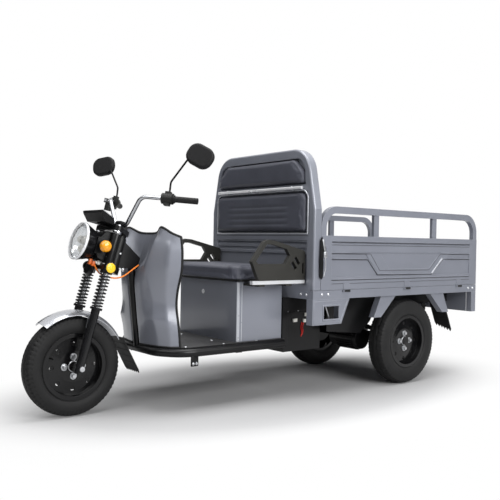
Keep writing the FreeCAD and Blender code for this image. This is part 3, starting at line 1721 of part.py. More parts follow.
def tail_sill():
    back = ahead(-d.tail_reach)
    inner = bed_half - d.sill_width
    bar = block("tail_sill_bar", (back, back + d.sill_width), (-inner, inner), (sill_low, d.bed_floor_height))
    ears = [
        tail_hinge_ears(f"ear_tail_{index}", tail_y(share))
        for index, share in enumerate(TAILGATE_HINGE_SHARES)
    ]
    return fuse("tail_sill", bar, *ears)


def gate_x(share):
    rear = ahead(-d.tail_reach)
    front = ahead(d.headboard_reach) - d.headboard_depth - d.swing_gap
    return rear + (front - rear) * share


def tail_y(share):
    half = bed_half - d.gate_depth - d.swing_gap
    return half * (2 * share - 1)


def hinge_z():
    return d.bed_floor_height - d.gate_hinge_drop


def side_hinge_ears(name, x, side):
    y = bed_half + d.gate_hinge_out
    z = hinge_z()
    half = d.gate_barrel_length / 2 + d.seat_gap
    items = [rod(f"{name}_pin", d.gate_pin, (x - half - d.gate_ear, y, z), half * 2 + d.gate_ear * 2, "x")]
    for index, low in enumerate((x - half - d.gate_ear, x + half)):
        items.append(block(
            f"{name}_{index}", (low, low + d.gate_ear), (bed_half - d.sill_width / 2, y + d.gate_barrel),
            (z - d.gate_barrel, z + d.gate_hinge_drop),
        ))
    left = fuse(name, *items)
    return left if side > 0 else mirrored(f"{name}_mirror", left)


def tail_hinge_ears(name, y):
    x = ahead(-d.tail_reach) - d.gate_hinge_out
    z = hinge_z()
    half = d.gate_barrel_length / 2 + d.seat_gap
    items = [rod(f"{name}_pin", d.gate_pin, (x, y - half - d.gate_ear, z), half * 2 + d.gate_ear * 2, "y")]
    for index, low in enumerate((y - half - d.gate_ear, y + half)):
        items.append(block(
            f"{name}_{index}", (
                x - d.gate_barrel, x + d.gate_hinge_out + d.sill_width / 2,
            ), (low, low + d.gate_ear),
            (z - d.gate_barrel, z + d.gate_hinge_drop),
        ))
    return fuse(name, *items)


def pressed_gate(name, length):
    """Drop side lying along local X, its outer face at local Y zero and its lower edge at Z zero."""
    height = d.gate_height
    depth = d.gate_depth
    body = slab(name, "XZ_Plane", [rectangle((zero, length), (zero, height))], -depth, zero)
    inside = (d.gate_stile, length - d.gate_stile)
    field = (d.gate_low_band, height - d.gate_top_band)
    add_pocket(body, "XZ_Plane", [rectangle(inside, field)], -d.gate_press, zero)
    band = (field[1] - field[0]) * 0.2
    add_pad(
        body, "XZ_Plane", [rectangle(inside, (field[1] - band * 1.4, field[1] - band * 0.4))],
        -d.gate_press, -d.gate_press / 3,
    )
    badge = scaled(GATE_BADGE_SHARES, zero, length, field[0], field[1] - field[0] - band)
    add_pad(body, "XZ_Plane", [badge], -d.gate_press, -d.gate_press / 3)
    low_band = rectangle(inside, (field[0] + band * 0.1, field[0] + band * 0.5))
    add_pad(body, "XZ_Plane", [low_band], -d.gate_press, -d.gate_press / 3)
    flange = d.gate_top_band
    hollow = rectangle((flange, length - flange), (flange, height - flange))
    add_pocket(body, "XZ_Plane", [hollow], -depth, -d.gate_press - d.gate_skin)
    return body


def gate_straps(name, places):
    """Hinge barrels with straps on a gate that lies along local X."""
    z = hinge_z() - gate_low
    y = d.gate_hinge_out
    half = d.gate_barrel_length / 2
    items = []
    holes = []
    for index, x in enumerate(places):
        items.append(
            rod(f"{name}_barrel_{index}", d.gate_barrel, (x - half, y, z), d.gate_barrel_length, "x")
        )
        items.append(
            block(f"{name}_strap_{index}", (x - half, x + half), (zero, d.gate_skin), (z, d.gate_strap))
        )
        holes.append(rod(f"{name}_pin_hole_{index}", d.gate_pin + d.run_gap, (x - half - d.overrun, y, z),
                         d.gate_barrel_length + d.overrun * 2, "x"))
    return items, holes


def latch_pin(name, x, z):
    """Shouldered pin that stands out of a gate's outer face and carries a latch lever."""
    shoulder = rod(f"{name}_shoulder", d.latch_head, (x, zero, z), d.latch_spacer - d.seat_gap, "y")
    shank = rod(f"{name}_shank", d.latch_pin, (x, zero, z), d.latch_spacer + d.latch_sheet + d.seat_gap, "y")
    head = rod(
        f"{name}_head", d.latch_head, (x, d.latch_spacer + d.latch_sheet + d.seat_gap, z),
        d.latch_head_depth, "y",
    )
    return fuse(name, shoulder, shank, head)


def gate_rail(length):
    """Bent rail over a drop side with two posts below it."""
    half_height = (d.gate_rail_height / 2).value
    half_width = (d.gate_rail_width / 2).value
    top = (d.gate_height + d.gate_rail_rise).value - half_height
    foot = d.gate_height.value
    y = -(d.gate_depth / 2).value
    low_x = half_height
    high_x = length.value - half_height
    path = rounded_path([
        Vector(low_x, y, foot), Vector(low_x, y, top), Vector(high_x, y, top), Vector(high_x, y, foot),
    ],
                        d.gate_rail_bend.value)
    section = Part.makePolygon([
        Vector(
            low_x + sx * half_height, y + sy * half_width, foot,
        ) for sx, sy in ((-1, -1), (1, -1), (1, 1), (-1, 1), (-1, -1))
    ])
    items = [feature("gate_rail_bow", path.makePipeShell([section], True, False))]
    span = (-(d.gate_depth + d.gate_rail_width * 0.7) / 2, -(d.gate_depth - d.gate_rail_width * 0.7) / 2)
    for index, share in enumerate(GATE_POST_SHARES):
        x = length * share
        items.append(block(
            f"gate_rail_post_{index}", (x - d.gate_post_width / 2, x + d.gate_post_width / 2), span,
            (d.gate_height, d.gate_height + d.gate_rail_rise - d.gate_rail_height / 2),
        ))
    return items


def side_length():
    return gate_x(1) - gate_x(0)


def side_gate_left():
    length = side_length()
    panel = pressed_gate("side_panel", length)
    straps, holes = gate_straps("side", [length * share for share in GATE_HINGE_SHARES])
    pin = latch_pin("side_latch_pin", length - d.latch_inset, d.gate_height - d.latch_drop)
    leaf_panel = cut("side_gate_panel", fuse("side_gate_whole", panel, *straps, pin), *holes)
    item = group("side_gate_left", leaf_panel, fuse("side_gate_rail", *gate_rail(length)))
    return locate(item, gate_x(0), bed_half, gate_low)


def side_gate_right():
    return mirrored("side_gate_right", doc.getObject("side_gate_left"))


def tailgate():
    half = bed_half - d.gate_depth - d.swing_gap
    length = half * 2
    panel = pressed_gate("tail_panel", length)
    straps, holes = gate_straps("tail", [length * share for share in TAILGATE_HINGE_SHARES])
    pins = [
        latch_pin(f"tail_latch_pin_{index}", x, d.gate_height - d.latch_drop)
        for index, x in enumerate((d.latch_inset, length - d.latch_inset))
    ]
    item = cut("tailgate", fuse("tailgate_whole", panel, *straps, *pins), *holes)
    return locate(item, ahead(-d.tail_reach), -half, gate_low, Rotation(Vector(0, 0, 1), 90))


def latch_lever(name):
    """Lever on its pin at the local origin, in the XZ plane, with its handle down and its arm towards +X."""
    length = d.latch_length
    width = d.latch_width
    x = d.latch_arm - width
    outline = scaled(LATCH_SHARES, x + width, -width, -length * 0.78, length)
    body = slab(name, "XZ_Plane", [outline], d.latch_spacer, d.latch_spacer + d.latch_sheet)
    hole = Disc(zero, zero, d.latch_pin + d.run_gap)
    add_pocket(body, "XZ_Plane", [hole], zero, d.latch_spacer + d.latch_sheet + d.overrun)
    return body


def latch_z():
    return gate_top - d.latch_drop


def latch_front_left():
    return locate(latch_lever("latch_front_left"), gate_x(1) - d.latch_inset, bed_half, latch_z())


def latch_front_right():
    return mirrored("latch_front_right", doc.getObject("latch_front_left"))


def latch_rear_left():
    half = bed_half - d.gate_depth - d.swing_gap
    turn = Rotation(Vector(0, 0, 1), 90)
    return locate(latch_lever("latch_rear_left"), ahead(-d.tail_reach), half - d.latch_inset, latch_z(), turn)


def latch_rear_right():
    return mirrored("latch_rear_right", doc.getObject("latch_rear_left"))


def tail_board():
    x = ahead(-d.board_reach)
    half = d.board_half
    items = [block("board_sheet_shape", (x - d.board_sheet, x), (-half, half), (d.board_low, sill_low))]
    for side in (1, -1):
        span = (bed_half - d.corner_post, bed_half) if side > 0 else (-bed_half, d.corner_post - bed_half)
        items.append(block(f"corner_post_{side}", (ahead(-d.tail_reach), x), span, (d.board_low, sill_low)))
    return fuse("tail_board", *items)


def tail_lamps():
    x = ahead(-d.board_reach) - d.board_sheet
    middle = (d.board_low + sill_low) / 2
    y = (d.tail_lamp_half - d.tail_lamp_length / 2, d.tail_lamp_half + d.tail_lamp_length / 2)
    z = (middle - d.tail_lamp_height / 2, middle + d.tail_lamp_height / 2)
    left = slab("tail_lamp", "YZ_Plane", [rectangle(y, z)], x - d.tail_lamp_depth, x)
    round_edges(left, d.tail_lamp_depth / 3, lambda edge: edge.BoundBox.XMax < x.value - 1)
    return pair("tail_lamps", left)


def under_bed_brackets():
    outer = bed_half
    inner = bed_half - d.step_depth
    front = past_headboard(d.step_ahead)
    outline = scaled(
        STEP_SHARES, front - d.step_length, d.step_length, sill_low - d.step_height, d.step_height,
    )
    step = slab("step_bracket", "XZ_Plane", [outline], inner, outer)
    hollow = rectangle(
        (front - d.step_length * 0.74, front - d.step_sheet),
        (sill_low - d.step_height + d.step_sheet, sill_low - d.step_sheet),
    )
    add_pocket(step, "XZ_Plane", [hollow], inner, outer - d.step_sheet)
    window = scaled(
        STEP_WINDOW_SHARES, front - d.step_length, d.step_length, sill_low - d.step_height, d.step_height,
    )
    add_pocket(step, "XZ_Plane", [window], inner, outer + d.overrun)
    left = [step]
    for word, x, lean in (("front", ahead(d.stay_front), 1), ("rear", ahead(-d.stay_rear), -1)):
        left.append(mudguard_stay(word, x, lean))
    items = left + [mirrored(f"{item.Name}_right", item) for item in left]
    return group("under_bed_brackets", *items)


def mudguard_stay(word, x, lean):
    """Folded plate that hangs under the bed beside a rear wheel."""
    length = d.stay_length * lean
    shares = ((0, 1), (1, 1), (1 + STAY_LEAN_SHARE, 0), (0.97, 0))
    outline = scaled(shares, x, length, sill_low - d.stay_drop, d.stay_drop)
    body = slab(f"mudguard_stay_{word}", "XZ_Plane", [outline], d.stay_y, d.stay_y + d.stay_depth)
    inner_shares = ((0.14, 0.97), (0.9, 0.97), (1.32, 0.04), (1.05, 0.04))
    inside = scaled(inner_shares, x, length, sill_low - d.stay_drop, d.stay_drop)
    add_pocket(body, "XZ_Plane", [inside], d.stay_y, d.stay_y + d.stay_depth - d.step_sheet)
    return body


def rear_mud_flaps():
    flap = toothed_flap(
        "rear_flap_sheet", d.rear_flap_length, d.rear_flap_half, d.rear_flap_half, d.flap_sheet,
    )
    lean = math.atan2(STAY_LEAN_SHARE * d.stay_length.value, d.stay_drop.value)
    down = 0.3
    x = ahead(-d.stay_rear).value - d.stay_length.value * (1 + STAY_LEAN_SHARE * down)
    z = sill_low.value - d.stay_drop.value * down
    back = d.flap_sheet.value + d.seat_gap.value
    turn = Rotation(Vector(0, 1, 0), 90 + math.degrees(lean))
    place = Vector(x, (d.rear_track / 2).value, z) - turn.multVec(Vector(0, 0, back))
    flap.Placement = Placement(place, turn)
    return pair("rear_mud_flaps", flap)


# Power
def battery_box():
    front = past_headboard(d.battery_ahead)
    rear = front - d.battery_length
    half = d.battery_half
    wall = d.battery_wall
    top = d.battery_low + d.battery_height
    shell = block("battery_shell", (rear, front), (-half, half), (d.battery_low, top))
    inside = block(
        "battery_inside", (rear + wall, front - wall), (wall - half, half - wall), (
            d.battery_low + wall, top - wall,
        ),
    )
    lip = block(
        "battery_lid_line", (rear - wall, front + wall), (-half - wall, half + wall),
        (top - wall * 4, top - wall * 3),
    )
    return fuse("battery_box", cut("battery_case", shell, inside), cut("battery_lip", lip, block(
        "battery_lip_inside", (rear + wall, front - wall), (wall - half, half - wall),
        (top - wall * 5, top))))


def battery_pack():
    wall = d.battery_wall + d.seat_gap
    front = past_headboard(d.battery_ahead) - wall
    rear = past_headboard(d.battery_ahead) - d.battery_length + wall
    width = d.battery_half * 2 - wall * 2
    low = d.battery_low + d.battery_wall
    items = []
    for index, share in enumerate(BATTERY_SHARES):
        y = width * share - d.battery_half + wall
        items.append(block(
            f"battery_{index}", (rear, front), (y, y + width / len(BATTERY_SHARES) - d.battery_gap),
            (low, low + d.battery_height * 0.8),
        ))
    return group("battery_pack", *items)


def motor_controller():
    front = past_headboard(d.box_ahead) - d.box_sheet - d.overrun * 8
    low = d.floor_height + d.box_sheet
    body = slab("motor_controller", "XY_Plane", [rectangle(
        (front - d.controller_length, front), (-d.controller_width / 2, d.controller_width / 2),
    )], low, low + d.controller_height)
    fins = []
    step = d.controller_width / 12
    for index in range(11):
        y = step * (index + 0.75) - d.controller_width / 2
        fins.append(
            rectangle((front - d.controller_length - d.overrun, front + d.overrun), (y, y + step / 2))
        )
    add_pocket(
        body, "XY_Plane", fins, low + d.controller_height * 0.75, low + d.controller_height + d.overrun,
    )
    return body


# Rear axle and suspension
def leaf_eye_z():
    return sill_low - d.high_rail_depth - d.hanger_drop


def leaf_rise():
    """Height of the spring eyes over the middle of the top leaf."""
    return leaf_eye_z() - rear_axle_z - d.axle_tube_radius - d.spring_seat - d.leaf_sheet * LEAF_COUNT


def leaf_springs():
    span = (d.leaf_length / 2).value
    rise = leaf_rise().value
    thick = d.leaf_sheet.value
    radius = (span * span + rise * rise) / (2 * rise)
    centre = Vector(0, 0, leaf_eye_z().value - rise + radius)
    low_y = (d.rail_half - d.leaf_width / 2).value
    width = Vector(0, d.leaf_width.value, 0)
    leaves = []
    for index, share in enumerate(LEAF_SHARES):
        half_angle = math.asin(span / radius) * share
        inner = radius + thick * index
        leaves.append(leaf(centre, inner, inner + thick, half_angle, low_y, width))
    pack = leaves[0].multiFuse(leaves[1:])
    across = Vector(0, 1, 0)
    spare = d.overrun.value
    bore_radius = (d.leaf_pin + d.run_gap).value
    eyes = [Vector(span * sign, low_y, leaf_eye_z().value) for sign in (1, -1)]
    for eye in eyes:
        pack = pack.fuse(Part.makeCylinder(d.leaf_eye.value, width.y, eye, across))
    for eye in eyes:
        pack = pack.cut(Part.makeCylinder(bore_radius, width.y + spare * 2, eye - across * spare, across))
    left = feature("leaf_pack", pack)
    locate(left, rear_x, zero, zero)
    return pair("leaf_springs", left)


def leaf(centre, inner, outer, half_angle, low_y, width):
    def place(radius, angle):
        return Vector(radius * math.sin(angle), low_y, centre.z - radius * math.cos(angle))
    edges = [
        Part.Arc(place(inner, -half_angle), place(inner, 0), place(inner, half_angle)).toShape(),
        Part.LineSegment(place(inner, half_angle), place(outer, half_angle)).toShape(),
        Part.Arc(place(outer, half_angle), place(outer, 0), place(outer, -half_angle)).toShape(),
        Part.LineSegment(place(outer, -half_angle), place(inner, -half_angle)).toShape(),
    ]
    return Part.Face(Part.Wire(edges)).extrude(width)


def axle_housing():
    z = rear_axle_z
    half = d.axle_half
    tube = rod("axle_tube", d.axle_tube_radius, (rear_x, -half, z), half * 2, "y")
    spindle_half = half + d.plate_sheet + d.spindle_length
    items = [tube, rod("axle_spindles", d.spindle_radius, (rear_x, -spindle_half, z), spindle_half * 2, "y")]
    for side in (1, -1):
        start = half if side > 0 else -half - d.plate_sheet
        items.append(rod(f"brake_plate_{side}", d.plate_radius, (rear_x, start, z), d.plate_sheet, "y"))
        items += spring_clamp(side)
    diff = turned("differential", [
        (zero, -d.diff_half), (
            d.axle_tube_radius, -d.diff_half,
        ), Via(d.diff_radius, zero), (d.axle_tube_radius, d.diff_half),
        (zero, d.diff_half),
    ])
    locate(diff, rear_x, zero, z, TURN_TO["y"])
    case = slab("gear_case", "XZ_Plane", [[
        (zero, -d.diff_radius * 0.8), (d.motor_ahead, -d.motor_radius), Via(
            d.motor_ahead + d.motor_radius, zero,
        ),
        (d.motor_ahead, d.motor_radius), (zero, d.diff_radius * 0.8),
    ]], -d.gear_case_half, d.gear_case_half)
    locate(case, rear_x, zero, z)
    return fuse("axle_housing", *items, diff, case)


def spring_clamp(side):
    """Seat under the leaf pack with a top plate held by four bolts."""
    z = rear_axle_z
    seat_top = z + d.axle_tube_radius + d.spring_seat
    middle = d.rail_half * side
    half = d.leaf_width / 2 + d.u_bolt_radius * 2 + d.seat_gap * 2
    long_half = d.leaf_width * 0.7
    leaf_top = seat_top + d.leaf_sheet * 3 + d.seat_gap * 2
    items = [block(
        f"spring_seat_{side}", (rear_x - long_half, rear_x + long_half), (middle - half, middle + half),
                   (z, seat_top - d.seat_gap))]
    lift = d.leaf_sheet / 2
    items.append(block(
        f"spring_top_{side}", (rear_x - long_half, rear_x + long_half), (middle - half, middle + half),
                       (leaf_top + lift, leaf_top + lift * 3)))
    for sx in (1, -1):
        for sy in (1, -1):
            x = rear_x + (long_half - d.u_bolt_radius * 1.5) * sx
            y = middle + (half - d.u_bolt_radius) * sy
            items.append(rod(f"u_bolt_{side}_{sx}_{sy}", d.u_bolt_radius, (x, y, z), leaf_top + lift * 5 - z))
    return items


def drive_motor():
    x = rear_x + d.motor_ahead
    start = d.gear_case_half
    ring = [Disc(zero, zero, d.motor_radius)]
    body = slab("drive_motor", "XY_Plane", ring, zero, d.motor_length)
    half = d.motor_fin_sheet / 2
    fin_outline = rectangle((d.motor_radius - half, d.motor_radius + d.motor_fin), (-half, half))
    fin = add_pad(body, "XY_Plane", [fin_outline], d.motor_length * 0.1, d.motor_length * 0.85)
    polar(body, fin, FIN_COUNT)
    return locate(body, x, start, rear_axle_z, TURN_TO["y"])


# Handlebar and controls
def bar_places(side):
    foot = (-d.bar_foot_setback, d.bar_foot_half * side, clamp_top + d.bar_foot_rise)
    bend = (-d.bar_bend_setback, d.bar_bend_half * side, clamp_top + d.bar_bend_rise)
    end = (-d.bar_end_setback, d.bar_end_half * side, clamp_top + d.bar_end_rise)
    return foot, bend, end


def handlebar():
    left = bar_places(1)
    right = bar_places(-1)
    points = [left[2], left[1], left[0], right[0], right[1], right[2]]
    return in_fork(bent_tube("handlebar", points, d.bar_bend_radius, d.bar_radius, d.bar_wall))


def bar_frame(side, from_end):
    """Placement in the fork whose Z runs outward along the bar and whose X points to the rider."""
    foot, bend, end = (vector(place) for place in bar_places(side))
    outward = (end - bend).normalize()
    rearward = Vector(0, 0, 1).cross(outward) * side
    turn = Rotation(rearward, Vector(), outward, "ZXY")
    return Placement(end - outward * sized(from_end).value, turn)


def along_bar(name, side, from_end, *shapes):
    item = group(name, *shapes)
    item.Placement = bar_frame(side, from_end)
    return item


def sleeve(name, radius, length):
    shape = rod(f"{name}_shape", radius, (zero, zero, zero), length)
    flange = rod(f"{name}_flange", d.grip_flange, (zero, zero, zero), d.grip_flange_length)
    hole = rod(
        f"{name}_hole", d.bar_radius + d.run_gap, (zero, zero, -d.overrun), length + d.overrun - d.bar_wall,
    )
    return cut(f"{name}_cut", fuse(f"{name}_whole", shape, flange), hole)


def grip_start():
    return d.grip_length - d.bar_wall - d.seat_gap


def left_grip():
    return in_fork(
        group(
            "left_grip",
            along_bar(
                "left_grip_place", 1, grip_start(), sleeve("left_sleeve", d.grip_radius, d.grip_length),
            ),
        )
    )


def throttle_grip():
    return in_fork(group("throttle_grip", along_bar(
        "throttle_place", -1, grip_start(), sleeve("throttle_sleeve", d.grip_radius, d.grip_length))))


def housing(name, side):
    """Clamshell round the bar with a boss on top for the mirror stem."""
    length = d.housing_length
    shell = rod(f"{name}_shell", d.housing_radius, (zero, zero, zero), length)
    boss = block(
        f"{name}_boss", (-d.housing_radius * 0.5, d.housing_radius * 0.5),
        (-d.housing_radius * 1.3, d.housing_radius * 1.3), (length * 0.25, length * 0.75),
    )
    hole = rod(f"{name}_hole", d.bar_radius + d.run_gap, (zero, zero, -d.overrun), length + d.overrun * 2)
    items = [fuse(f"{name}_whole", shell, boss), hole]
    if side > 0:
        items.append(rod(f"{name}_button_hole", d.button_radius + d.run_gap,
                         (d.housing_radius - d.button_length, zero, length / 2), d.button_length * 2, "x"))
    return cut(f"{name}_cut", *items)


def housing_start():
    return grip_start() + d.bearing_gap + d.housing_length


def switch_housings():
    left = along_bar("left_housing", 1, housing_start(), housing("left_switch", 1))
    right_shell = fuse("right_switch_with_perch", housing("right_switch", -1), lever_perch(), reservoir())
    right = along_bar("right_housing", -1, housing_start(), right_shell)
    return in_fork(group("switch_housings", left, right))


def lever_perch():
    """Two ears ahead of the right housing that hold the brake lever on its pin."""
    reach = d.lever_reach
    z = d.housing_length / 2
    ears = []
    for index, low in enumerate((-d.lever_half - d.seat_gap - d.lever_half, d.lever_half + d.seat_gap)):
        ears.append(block(f"perch_ear_{index}", (-reach - d.perch_half / 2, -d.housing_radius * 0.8),
                          (low, low + d.lever_half), (z - d.perch_half / 2, z + d.perch_half / 2)))
    pin = rod(
        "perch_pin", d.lever_pin_radius, (-reach, -d.lever_half * 2 - d.seat_gap, z),
        d.lever_half * 4 + d.seat_gap * 2, "y",
    )
    return fuse("lever_perch", *ears, pin)


def reservoir():
    x = -d.housing_radius
    return rod(
        "reservoir", d.reservoir_radius, (x, d.lever_half * 2, d.housing_length * 0.2), d.reservoir_height,
        "y",
    )


def brake_lever():
    z = d.housing_length / 2
    half = d.lever_half
    reach = d.lever_reach
    blade = block(
        "lever_blade", (-reach - half, -reach + half), (-half, half), (z - half, z + d.lever_length),
    )
    knob = rod("lever_knob", half * 1.4, (-reach, zero, z + d.lever_length - half), half * 2)
    eye = rod("lever_eye", half * 1.5, (-reach, -half, z), half * 2, "y")
    hole = rod(
        "lever_hole", d.lever_pin_radius + d.run_gap, (-reach, -half - d.overrun, z),
        half * 2 + d.overrun * 2, "y",
    )
    lever = cut("lever_cut", fuse("lever_whole", blade, knob, eye), hole)
    return in_fork(group("brake_lever", along_bar("lever_place", -1, housing_start(), lever)))


def horn_button():
    start = (d.housing_radius - d.button_length / 2, zero, d.housing_length / 2)
    button = rod("button_shape", d.button_radius, start,
                 d.button_length, "x")
    return in_fork(group("horn_button", along_bar("button_place", 1, housing_start(), button)))


def mirror_base(side):
    frame = bar_frame(side, housing_start())
    offset = Vector(0, 0, d.housing_length.value / 2)
    base = frame.multVec(offset)
    return base + Vector(0, 0, d.housing_radius.value * 1.3 + d.seat_gap.value * 2.5)


def mirror_shell(name):
    half_w = d.mirror_width / 2
    half_h = d.mirror_height / 2
    outline = rectangle((-half_w, half_w), (-half_h, half_h))
    shell = slab(f"{name}_shell", "YZ_Plane", [outline], zero, d.mirror_depth)
    round_edges(shell, d.mirror_corner, runs_along("x"))
    round_edges(shell, d.mirror_depth / 2, lambda edge: edge.BoundBox.XMin > d.mirror_depth.value - 1e-6)
    doc.recompute()
    return shell


def mirror(name, side):
    """Head turned on a bent stem that ends inside it, both heads reaching equally far out."""
    shell = mirror_shell(name)
    yaw = d.mirror_left_yaw if side > 0 else d.mirror_right_yaw
    turn = Rotation(Vector(0, 0, 1), yaw.value)
    turn = turn.multiply(Rotation(Vector(1, 0, 0), -d.mirror_roll.value * side))
    turned_shell = shell.Shape.copy()
    turned_shell.Placement = Placement(Vector(), turn)
    box = turned_shell.optimalBoundingBox(False)
    out = d.mirror_reach.value - (box.YMax if side > 0 else -box.YMin)
    hold = turn.multVec(Vector(
        d.mirror_depth.value / 2,
        -d.mirror_width.value * MIRROR_HOLD_SHARES[0] * side,
        -d.mirror_height.value * MIRROR_HOLD_SHARES[1],
    ))
    ahead = math.tan(math.radians(d.mirror_tilt.value))
    rise = d.mirror_stem_rise.value
    lift = d.mirror_lift.value
    base = mirror_base(side)
    foot = base + Vector(0, 0, d.mirror_stem_radius.value * 2)
    knee = base + Vector(rise * ahead, 0, rise)
    tip = Vector(knee.x + lift * ahead, out * side + hold.y, knee.z + lift)
    path = rounded_path([base, foot, knee, tip], d.mirror_bend.value)
    stem = feature(f"{name}_stem", swept_round(path, d.mirror_stem_radius.value))
    shell.Placement = Placement(Vector(tip.x - hold.x, out * side, tip.z - hold.z), turn)
    return in_fork(group(name, fuse(f"{name}_whole", stem, shell)))


# Headlight, instruments and signals
def headlight_shell():
    back = d.lamp_ahead - d.lamp_depth
    wall = d.lamp_wall
    radius = d.lamp_radius
    mid = back + d.lamp_depth * 0.4
    rim_x = d.lamp_ahead - d.lens_depth
    body = turned("lamp_bowl", [
        (zero, back), (radius * 0.3, back), Via(
            radius * 0.62, back + d.lamp_depth * 0.15,
        ), (radius * 0.78, mid),
        (radius, rim_x), (radius, rim_x + d.lens_depth * 0.6), (radius - wall, rim_x + d.lens_depth * 0.6),
        (radius - wall, rim_x), (radius * 0.78 - wall, mid), Via(
            radius * 0.6, back + d.lamp_depth * 0.15 + wall,
        ),
        (radius * 0.3, back + wall), (zero, back + wall),
    ])
    locate(body, zero, zero, lamp_height, TURN_TO["x"])
    return in_fork(group("headlight_shell", body))


def headlight_lens():
    edge = d.lamp_ahead - d.lens_depth * 0.4
    outer = d.lamp_radius
    outer_drop = d.lamp_ahead - edge - d.lens_sheet
    inner_drop = outer_drop - d.seat_gap
    inside = d.lamp_ahead - d.lens_sheet
    glass = turned("lamp_glass", [
        (zero, d.lamp_ahead), (outer * 0.1, d.lamp_ahead), Via(outer * 0.5, d.lamp_ahead - outer_drop / 4),
        (outer * 0.88, edge + d.lens_sheet),
        (outer, edge + d.lens_sheet), (outer, edge + d.seat_gap), (outer * 0.86, edge + d.seat_gap),
        Via(outer * 0.49, inside - inner_drop / 4), (outer * 0.1, inside), (zero, inside),
    ])
    locate(glass, zero, zero, lamp_height, TURN_TO["x"])
    return in_fork(group("headlight_lens", glass))


def instrument_pod():
    rear = d.pod_front - d.pod_length
    low = clamp_top
    side = slab("pod_side", "XZ_Plane", [scaled(POD_SIDE_SHARES, rear, d.pod_length, low, d.pod_height)],
                -d.pod_front_half, d.pod_front_half)
    plan_outline = [
        (rear, -d.pod_rear_half), (d.pod_front, -d.pod_front_half), (d.pod_front, d.pod_front_half),
        (rear, d.pod_rear_half),
    ]
    plan = slab("pod_plan", "XY_Plane", [plan_outline], low, low + d.pod_height)
    return in_fork(group("instrument_pod", common("pod_body", side, plan)))


def ignition_key():
    top = clamp_top + d.key_barrel_height
    shank = rod(
        "key_shank", d.key_radius, (zero, zero, clamp_top + d.key_barrel_height / 2),
        d.key_barrel_height / 2 + d.seat_gap * 10,
    )
    bow = block(
        "key_bow", (-d.key_sheet / 2, d.key_sheet / 2), (-d.key_blade / 3, d.key_blade / 3),
        (top + d.seat_gap * 3, top + d.key_blade),
    )
    return in_fork(group("ignition_key", fuse("key_whole", shank, bow)))


def turn_signals():
    radius = d.signal_radius
    start = leg_y - d.stanchion_radius - d.seat_gap + d.signal_stalk
    dome = turned("signal_dome", [
        (zero, zero), (radius * 0.6, zero), (radius, d.signal_depth * 0.35), Via(
            radius * 0.82, d.signal_depth * 0.78,
        ),
        (radius * 0.3, d.signal_depth), (zero, d.signal_depth),
    ])
    locate(dome, d.signal_ahead, start, lamp_height, TURN_TO["y"])
    disc_z = clamp_low + d.lower_clamp_depth / 2
    disc_y = leg_y + d.collar_radius + d.seat_gap
    foot = leg_y + d.clamp_margin
    disc = rod("reflector_disc", d.reflector_radius, (zero, disc_y, disc_z), d.reflector_depth, "y")
    stub = rod("reflector_stub", d.signal_stalk_radius, (zero, foot, disc_z), disc_y - foot, "y")
    left = group("signals_left", dome, fuse("side_reflector", disc, stub))
    return in_fork(group("turn_signals", left, mirrored("signals_right", left)))


def horn():
    start = d.clamp_margin
    z = clamp_low + d.lower_clamp_depth / 2 - d.horn_radius / 2
    drum = turned("horn_drum", [
        (zero, zero), (d.horn_radius * 0.5, zero), (
            d.horn_radius, d.horn_depth * 0.4,
        ), (d.horn_radius, d.horn_depth * 0.7),
        (d.horn_radius * 0.7, d.horn_depth), (zero, d.horn_depth),
    ])
    locate(drum, start + d.lamp_plate, zero, z, TURN_TO["x"])
    ear = block(
        "horn_ear", (start, start + d.lamp_plate + d.horn_depth * 0.3),
        (-d.pod_bracket_half / 2, d.pod_bracket_half / 2),
                (z, clamp_low + d.lower_clamp_depth))
    return in_fork(fuse("horn", drum, ear))


# Route of the lead, chosen by hand: ahead of the head tube's middle, across, and above it
LEAD_ROUTE = (
    (150, 52, -62), (138, 54, -90), (
        112, 56, -112,
    ), (80, 56, -122), (45, 60, -130), (10, 66, -127), (-24, 68, -110),
    (-58, 67, -86), (-98, 65, -62),
)


def lead_path(points):
    edges = []
    start = points[0]
    for before, corner, after in zip(points, points[1:], points[2:]):
        inward = before - corner
        outward = after - corner
        half_turn = inward.getAngle(outward) / 2
        setback = 0.45 * min(inward.Length, outward.Length)
        bend = setback * math.tan(half_turn)
        inward.normalize()
        outward.normalize()
        middle = corner + (inward + outward).normalize() * (bend / math.sin(half_turn) - bend)
        first = corner + inward * setback
        last = corner + outward * setback
        print("lead: bend radius", round(bend, 1))
        edges.append(Part.LineSegment(start, first).toShape())
        edges.append(Part.Arc(first, middle, last).toShape())
        start = last
    edges.append(Part.LineSegment(start, points[-1]).toShape())
    return Part.Wire(edges)


def lamp_lead():
    origin = fork_point(-d.fork_offset, zero, d.head_base + d.head_length / 2)
    points = [origin + Vector(*place) for place in LEAD_ROUTE]
    path = lead_path(points)
    shape = swept_round(path, d.lead_radius.value)
    section = math.pi * d.lead_radius.value ** 2
    print("lead: volume over section times length", round(shape.Volume / (section * path.Length), 4))
    return feature("lamp_lead", shape)


PIECES = (
    neck_frame, floor_hoop, floor_plate, chassis_frame, leg_shield, seat_box, armrests, grab_rails,
    headboard, back_pads,
    bed_floor, tail_board, tail_lamps, under_bed_brackets, rear_mud_flaps, battery_box, battery_pack,
    motor_controller,
    leaf_springs, lamp_lead, fork_clamps, fork_stanchions, fork_springs, handlebar, left_grip,
    switch_housings,
    headlight_shell, headlight_lens, instrument_pod, turn_signals, horn, throttle_grip, brake_lever,
    ignition_key,
    horn_button, seat_lock, brake_pedal, seat_pan, seat_cushion, fork_sliders, front_mudguard,
    front_mud_flap, front_axle,
    front_tyre, front_rim, axle_housing, drive_motor, side_gate_left, side_gate_right, tailgate,
    latch_front_left,
    latch_front_right, latch_rear_left, latch_rear_right,
)

